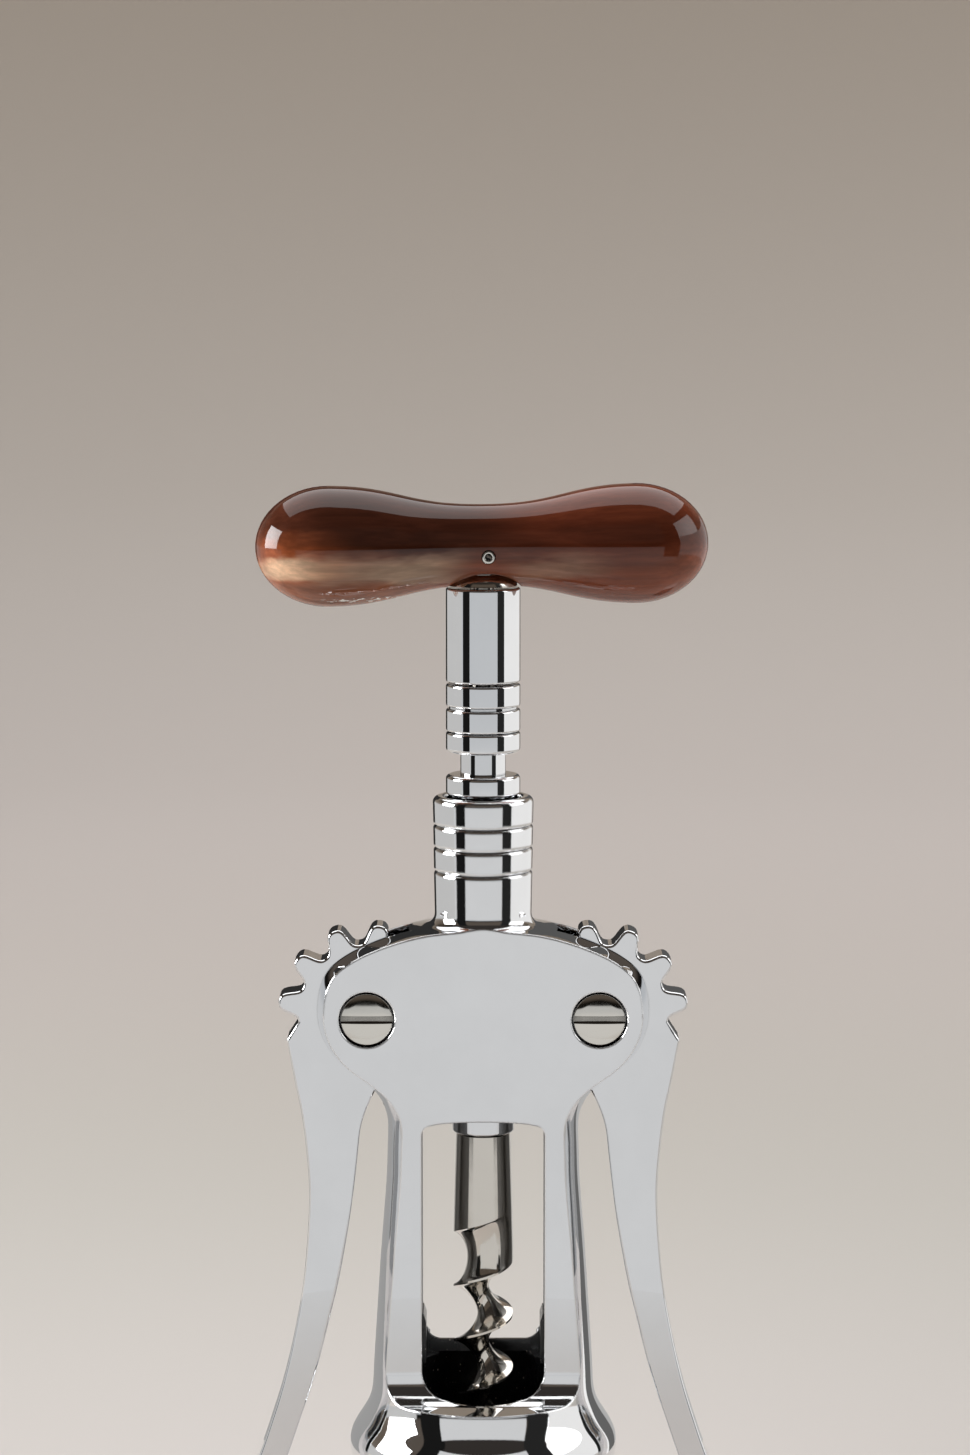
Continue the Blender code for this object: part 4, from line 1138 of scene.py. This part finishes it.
def make_worm(sizes, colours):
    """A right-handed worm: a tube extruded ring by ring, then shaped by the flute's formula."""
    top = RACK_BOTTOM - GAP
    count = int((SHANK_END - WORM_TIP) * WORM_STEPS_PER_TURN / sizes.worm_pitch) + 1
    deselect()
    bpy.ops.mesh.primitive_circle_add(vertices=WORM_SIDES, radius=SHANK_TOP_RADIUS, location=(0, 0, top))
    piece = bpy.context.object
    piece.name = "worm_shaft"
    bpy.ops.object.mode_set(mode="EDIT")
    bpy.ops.mesh.select_all(action="SELECT")
    bpy.ops.mesh.edge_face_add()
    extrude((0, 0, SHANK_END - top))
    for _ in range(count):
        extrude((0, 0, (WORM_TIP - SHANK_END) / count))
    bpy.ops.mesh.merge(type="CENTER")
    weld()
    close_shape(piece)
    for vertex in piece.data.vertices:
        x, y, height = vertex.co
        if hypot(x, y) < MERGE:
            continue
        phase = atan2(y, x) % (2 * pi)
        twist = 2 * pi * (min(height, SHANK_END) - WORM_CREST_HEIGHT) / sizes.worm_pitch
        radius = worm_reach(phase, height, sizes)
        angle = WORM_CREST_ANGLE + twist + phase
        vertex.co.x = radius * cos(angle)
        vertex.co.y = radius * sin(angle)
    carve(piece, rod(
        "worm socket cutter", STEM_RADIUS + GAP, top - STEM_SOCKET_DEPTH, top + OVERRUN, SMALL_SIDES))
    dress(piece, metal("steel", colours), "spindle", "steel", "worm", angle=WORM_SMOOTH_ANGLE)


def make_backdrop(stage):
    """A round floor that sweeps up into a wall on every side, and that metal mirrors in its own way."""
    piece = turned("backdrop", [
        *((radius, 0) for radius in FLOOR_RINGS),
        *arc((FLOOR_RADIUS, SWEEP_RADIUS), SWEEP_RADIUS, -90, 0, 24),
        (FLOOR_RADIUS + SWEEP_RADIUS, WALL_TOP)], PART_SIDES)
    bpy.ops.object.mode_set(mode="EDIT")
    weld(inside=True)
    bpy.ops.object.mode_set(mode="OBJECT")
    bpy.ops.object.shade_smooth()
    surface, tree, shader, place = start_finish("backdrop paper")
    flat = add(tree, "VectorMath", {0: place, 1: (1, 1, 0)}, operation="MULTIPLY").outputs["Vector"]
    reach = add(tree, "VectorMath", {0: flat}, operation="LENGTH").outputs["Value"]
    parts = split(tree, place)
    walked = plus(tree, reach, parts["Z"])
    # Painted light and shade: the ramp's colours grow lighter and darker along floor and wall, in place of
    # one even paper colour.
    colours = add(tree, "ValToRGB", {"Fac": combine(tree, "DIVIDE", walked, RAMP_LENGTH)})
    ramp = colours.color_ramp
    ramp.interpolation = "CARDINAL"
    while len(ramp.elements) < len(BACKDROP_STOPS):
        ramp.elements.new(0.5)
    for element, (name, position) in zip(ramp.elements, BACKDROP_STOPS.items()):
        element.position = position
        element.color = (*getattr(stage, name), 1)
    set_shader(tree, shader, base_color=colours.outputs["Color"], roughness=0.9, specular_ior_level=0)
    front = times(
        tree, spread(tree, parts["Y"], *FRONT_START, 0, 1), add(tree, "LightPath").outputs["Is Glossy Ray"])
    paint = blend(tree, spread(tree, walked, *FRONT_FADE, 0, 1), stage.front_floor, stage.front_far)
    room = blend(tree, spread(tree, walked, *FRONT_ROOM, 0, 1), stage.front_dark, stage.front_room)
    paint = blend(tree, spread(tree, walked, *FRONT_EDGE, 0, 1), paint, room)
    glow = add(tree, "Emission", {"Color": paint})
    mix = add(tree, "MixShader", {0: front, 1: shader.outputs["BSDF"], 2: glow.outputs["Emission"]})
    tree.links.new(mix.outputs["Shader"], tree.nodes["Material Output"].inputs["Surface"])
    piece.data.materials.append(surface)


def make_card(name, start, end, distance, bottom, height, strength, tint):
    """A curved card on edge between two azimuths, seen only in reflections."""
    angles = [radians(start + (end - start) * k / CARD_STEPS) for k in range(CARD_STEPS + 1)]
    card = draw_line(name, [(distance * sin(a), -distance * cos(a), bottom) for a in angles])
    bpy.ops.mesh.select_all(action="SELECT")
    extrude((0, 0, height))
    close_shape(card)
    surface, tree, shader, _ = start_finish(name + " paint")
    tree.nodes.remove(shader)
    glow = add(tree, "Emission", {"Color": (*tint, 1), "Strength": strength})
    tree.links.new(glow.outputs["Emission"], tree.nodes["Material Output"].inputs["Surface"])
    card.data.materials.append(surface)
    card.visible_camera = card.visible_diffuse = card.visible_shadow = False


def make_lamp(name, place, target, width, depth, spread_angle, power):
    """A plain soft lamp, seen in reflections and hidden from the camera."""
    deselect()
    bpy.ops.object.light_add(type="AREA", location=place)
    lamp = bpy.context.object
    lamp.name = name
    lamp.data.shape = "RECTANGLE"
    lamp.data.size = width
    lamp.data.size_y = depth
    lamp.data.energy = power
    lamp.data.spread = spread_angle
    lamp.rotation_euler = (Vector(target) - Vector(place)).to_track_quat("-Z", "Y").to_euler()
    lamp.visible_camera = False


def make_stage(stage):
    make_backdrop(stage)
    for name, row in CARDS.items():
        make_card(name, *row, stage.front_floor if name == "front card" else CARD_TINT)
    for side, row in LAMPS.items():
        make_lamp(side + " lamp", *row, getattr(stage, side + "_power"))
    scene = bpy.context.scene
    scene.world = scene.world or bpy.data.worlds.new("studio")
    scene.world.use_nodes = True
    room = scene.world.node_tree
    fill(room, room.nodes["Background"].inputs, {"Color": ROOM_COLOUR, "Strength": 1})
    scene.view_settings.view_transform = "Standard"
    deselect()
    bpy.ops.object.camera_add(location=CAMERA_PLACE, rotation=(CAMERA_TILT, 0, 0))
    scene.camera = bpy.context.object
    scene.camera.data.lens = CAMERA_LENS
    scene.camera.data.sensor_width = CAMERA_SENSOR


def run(context, *makers):
    """Make pieces with the scene's sizes and finishes."""
    for maker in makers:
        maker(context.scene.corkscrew_sizes, context.scene.corkscrew_finishes)
    return {"FINISHED"}


class CORKSCREW_OT_frame(Operator):
    """Turn the casting, then cut its flats, window, slots and screw holes"""
    bl_idname = "corkscrew.make_frame"
    bl_label = "Frame"

    def execute(self, context):
        return run(context, make_frame)


class CORKSCREW_OT_liner(Operator):
    """Turn the bell's black liner and cut its front away"""
    bl_idname = "corkscrew.make_liner"
    bl_label = "Bell Liner"

    def execute(self, context):
        return run(context, make_liner)


class CORKSCREW_OT_wings(Operator):
    """Cut both toothed wings from plate and round their edges"""
    bl_idname = "corkscrew.make_wings"
    bl_label = "Wings"

    def execute(self, context):
        return run(context, make_wings)


class CORKSCREW_OT_screws(Operator):
    """Turn and slot both pivot screws"""
    bl_idname = "corkscrew.make_screws"
    bl_label = "Pivot Screws"

    def execute(self, context):
        return run(context, make_screws)


class CORKSCREW_OT_rack(Operator):
    """Turn the rack with its bands, grooves and rings"""
    bl_idname = "corkscrew.make_rack"
    bl_label = "Ring Rack"

    def execute(self, context):
        return run(context, make_rack)


class CORKSCREW_OT_spindle(Operator):
    """Turn the ferrule and stem, and mill the worm"""
    bl_idname = "corkscrew.make_spindle"
    bl_label = "Ferrule, Stem and Worm"

    def execute(self, context):
        return run(context, make_ferrule, make_stem, make_worm)


class CORKSCREW_OT_handle(Operator):
    """Turn the horn handle and fit its cross pin"""
    bl_idname = "corkscrew.make_handle"
    bl_label = "Handle and Pin"

    def execute(self, context):
        return run(context, make_handle, make_pin)


class CORKSCREW_OT_stage(Operator):
    """Set the backdrop, the cards, the lamps and the camera"""
    bl_idname = "corkscrew.make_stage"
    bl_label = "Stage"

    def execute(self, context):
        make_stage(context.scene.corkscrew_stage)
        return {"FINISHED"}


OPERATORS = (
    CORKSCREW_OT_frame, CORKSCREW_OT_liner, CORKSCREW_OT_wings, CORKSCREW_OT_screws, CORKSCREW_OT_rack,
    CORKSCREW_OT_spindle, CORKSCREW_OT_handle, CORKSCREW_OT_stage,
)


SETTINGS = {
    "corkscrew_sizes": CorkscrewSizes, "corkscrew_finishes": CorkscrewFinishes,
    "corkscrew_stage": CorkscrewStage,
}


class CORKSCREW_PT_panel(Panel):
    """Settings and pieces of the corkscrew"""
    bl_idname = "CORKSCREW_PT_panel"
    bl_label = "Wing Corkscrew"
    bl_space_type = "VIEW_3D"
    bl_region_type = "UI"
    bl_category = "Corkscrew"

    def draw(self, context):
        for group in (getattr(context.scene, name) for name in SETTINGS):
            box = self.layout.box()
            for name in group.bl_rna.properties.keys():
                if name not in ("rna_type", "name"):
                    box.prop(group, name)
        for item in OPERATORS:
            self.layout.operator(item.bl_idname)


CLASSES = (*SETTINGS.values(), *OPERATORS, CORKSCREW_PT_panel)


def register():
    for item in CLASSES:
        bpy.utils.register_class(item)
    for name, group in SETTINGS.items():
        setattr(bpy.types.Scene, name, PointerProperty(type=group))


def unregister():
    for name in SETTINGS:
        delattr(bpy.types.Scene, name)
    for item in reversed(CLASSES):
        bpy.utils.unregister_class(item)


def main():
    register()
    bpy.ops.corkscrew.make_frame()
    bpy.ops.corkscrew.make_liner()
    bpy.ops.corkscrew.make_wings()
    bpy.ops.corkscrew.make_screws()
    bpy.ops.corkscrew.make_rack()
    bpy.ops.corkscrew.make_spindle()
    bpy.ops.corkscrew.make_handle()
    bpy.ops.corkscrew.make_stage()


if __name__ == "__main__":
    main()
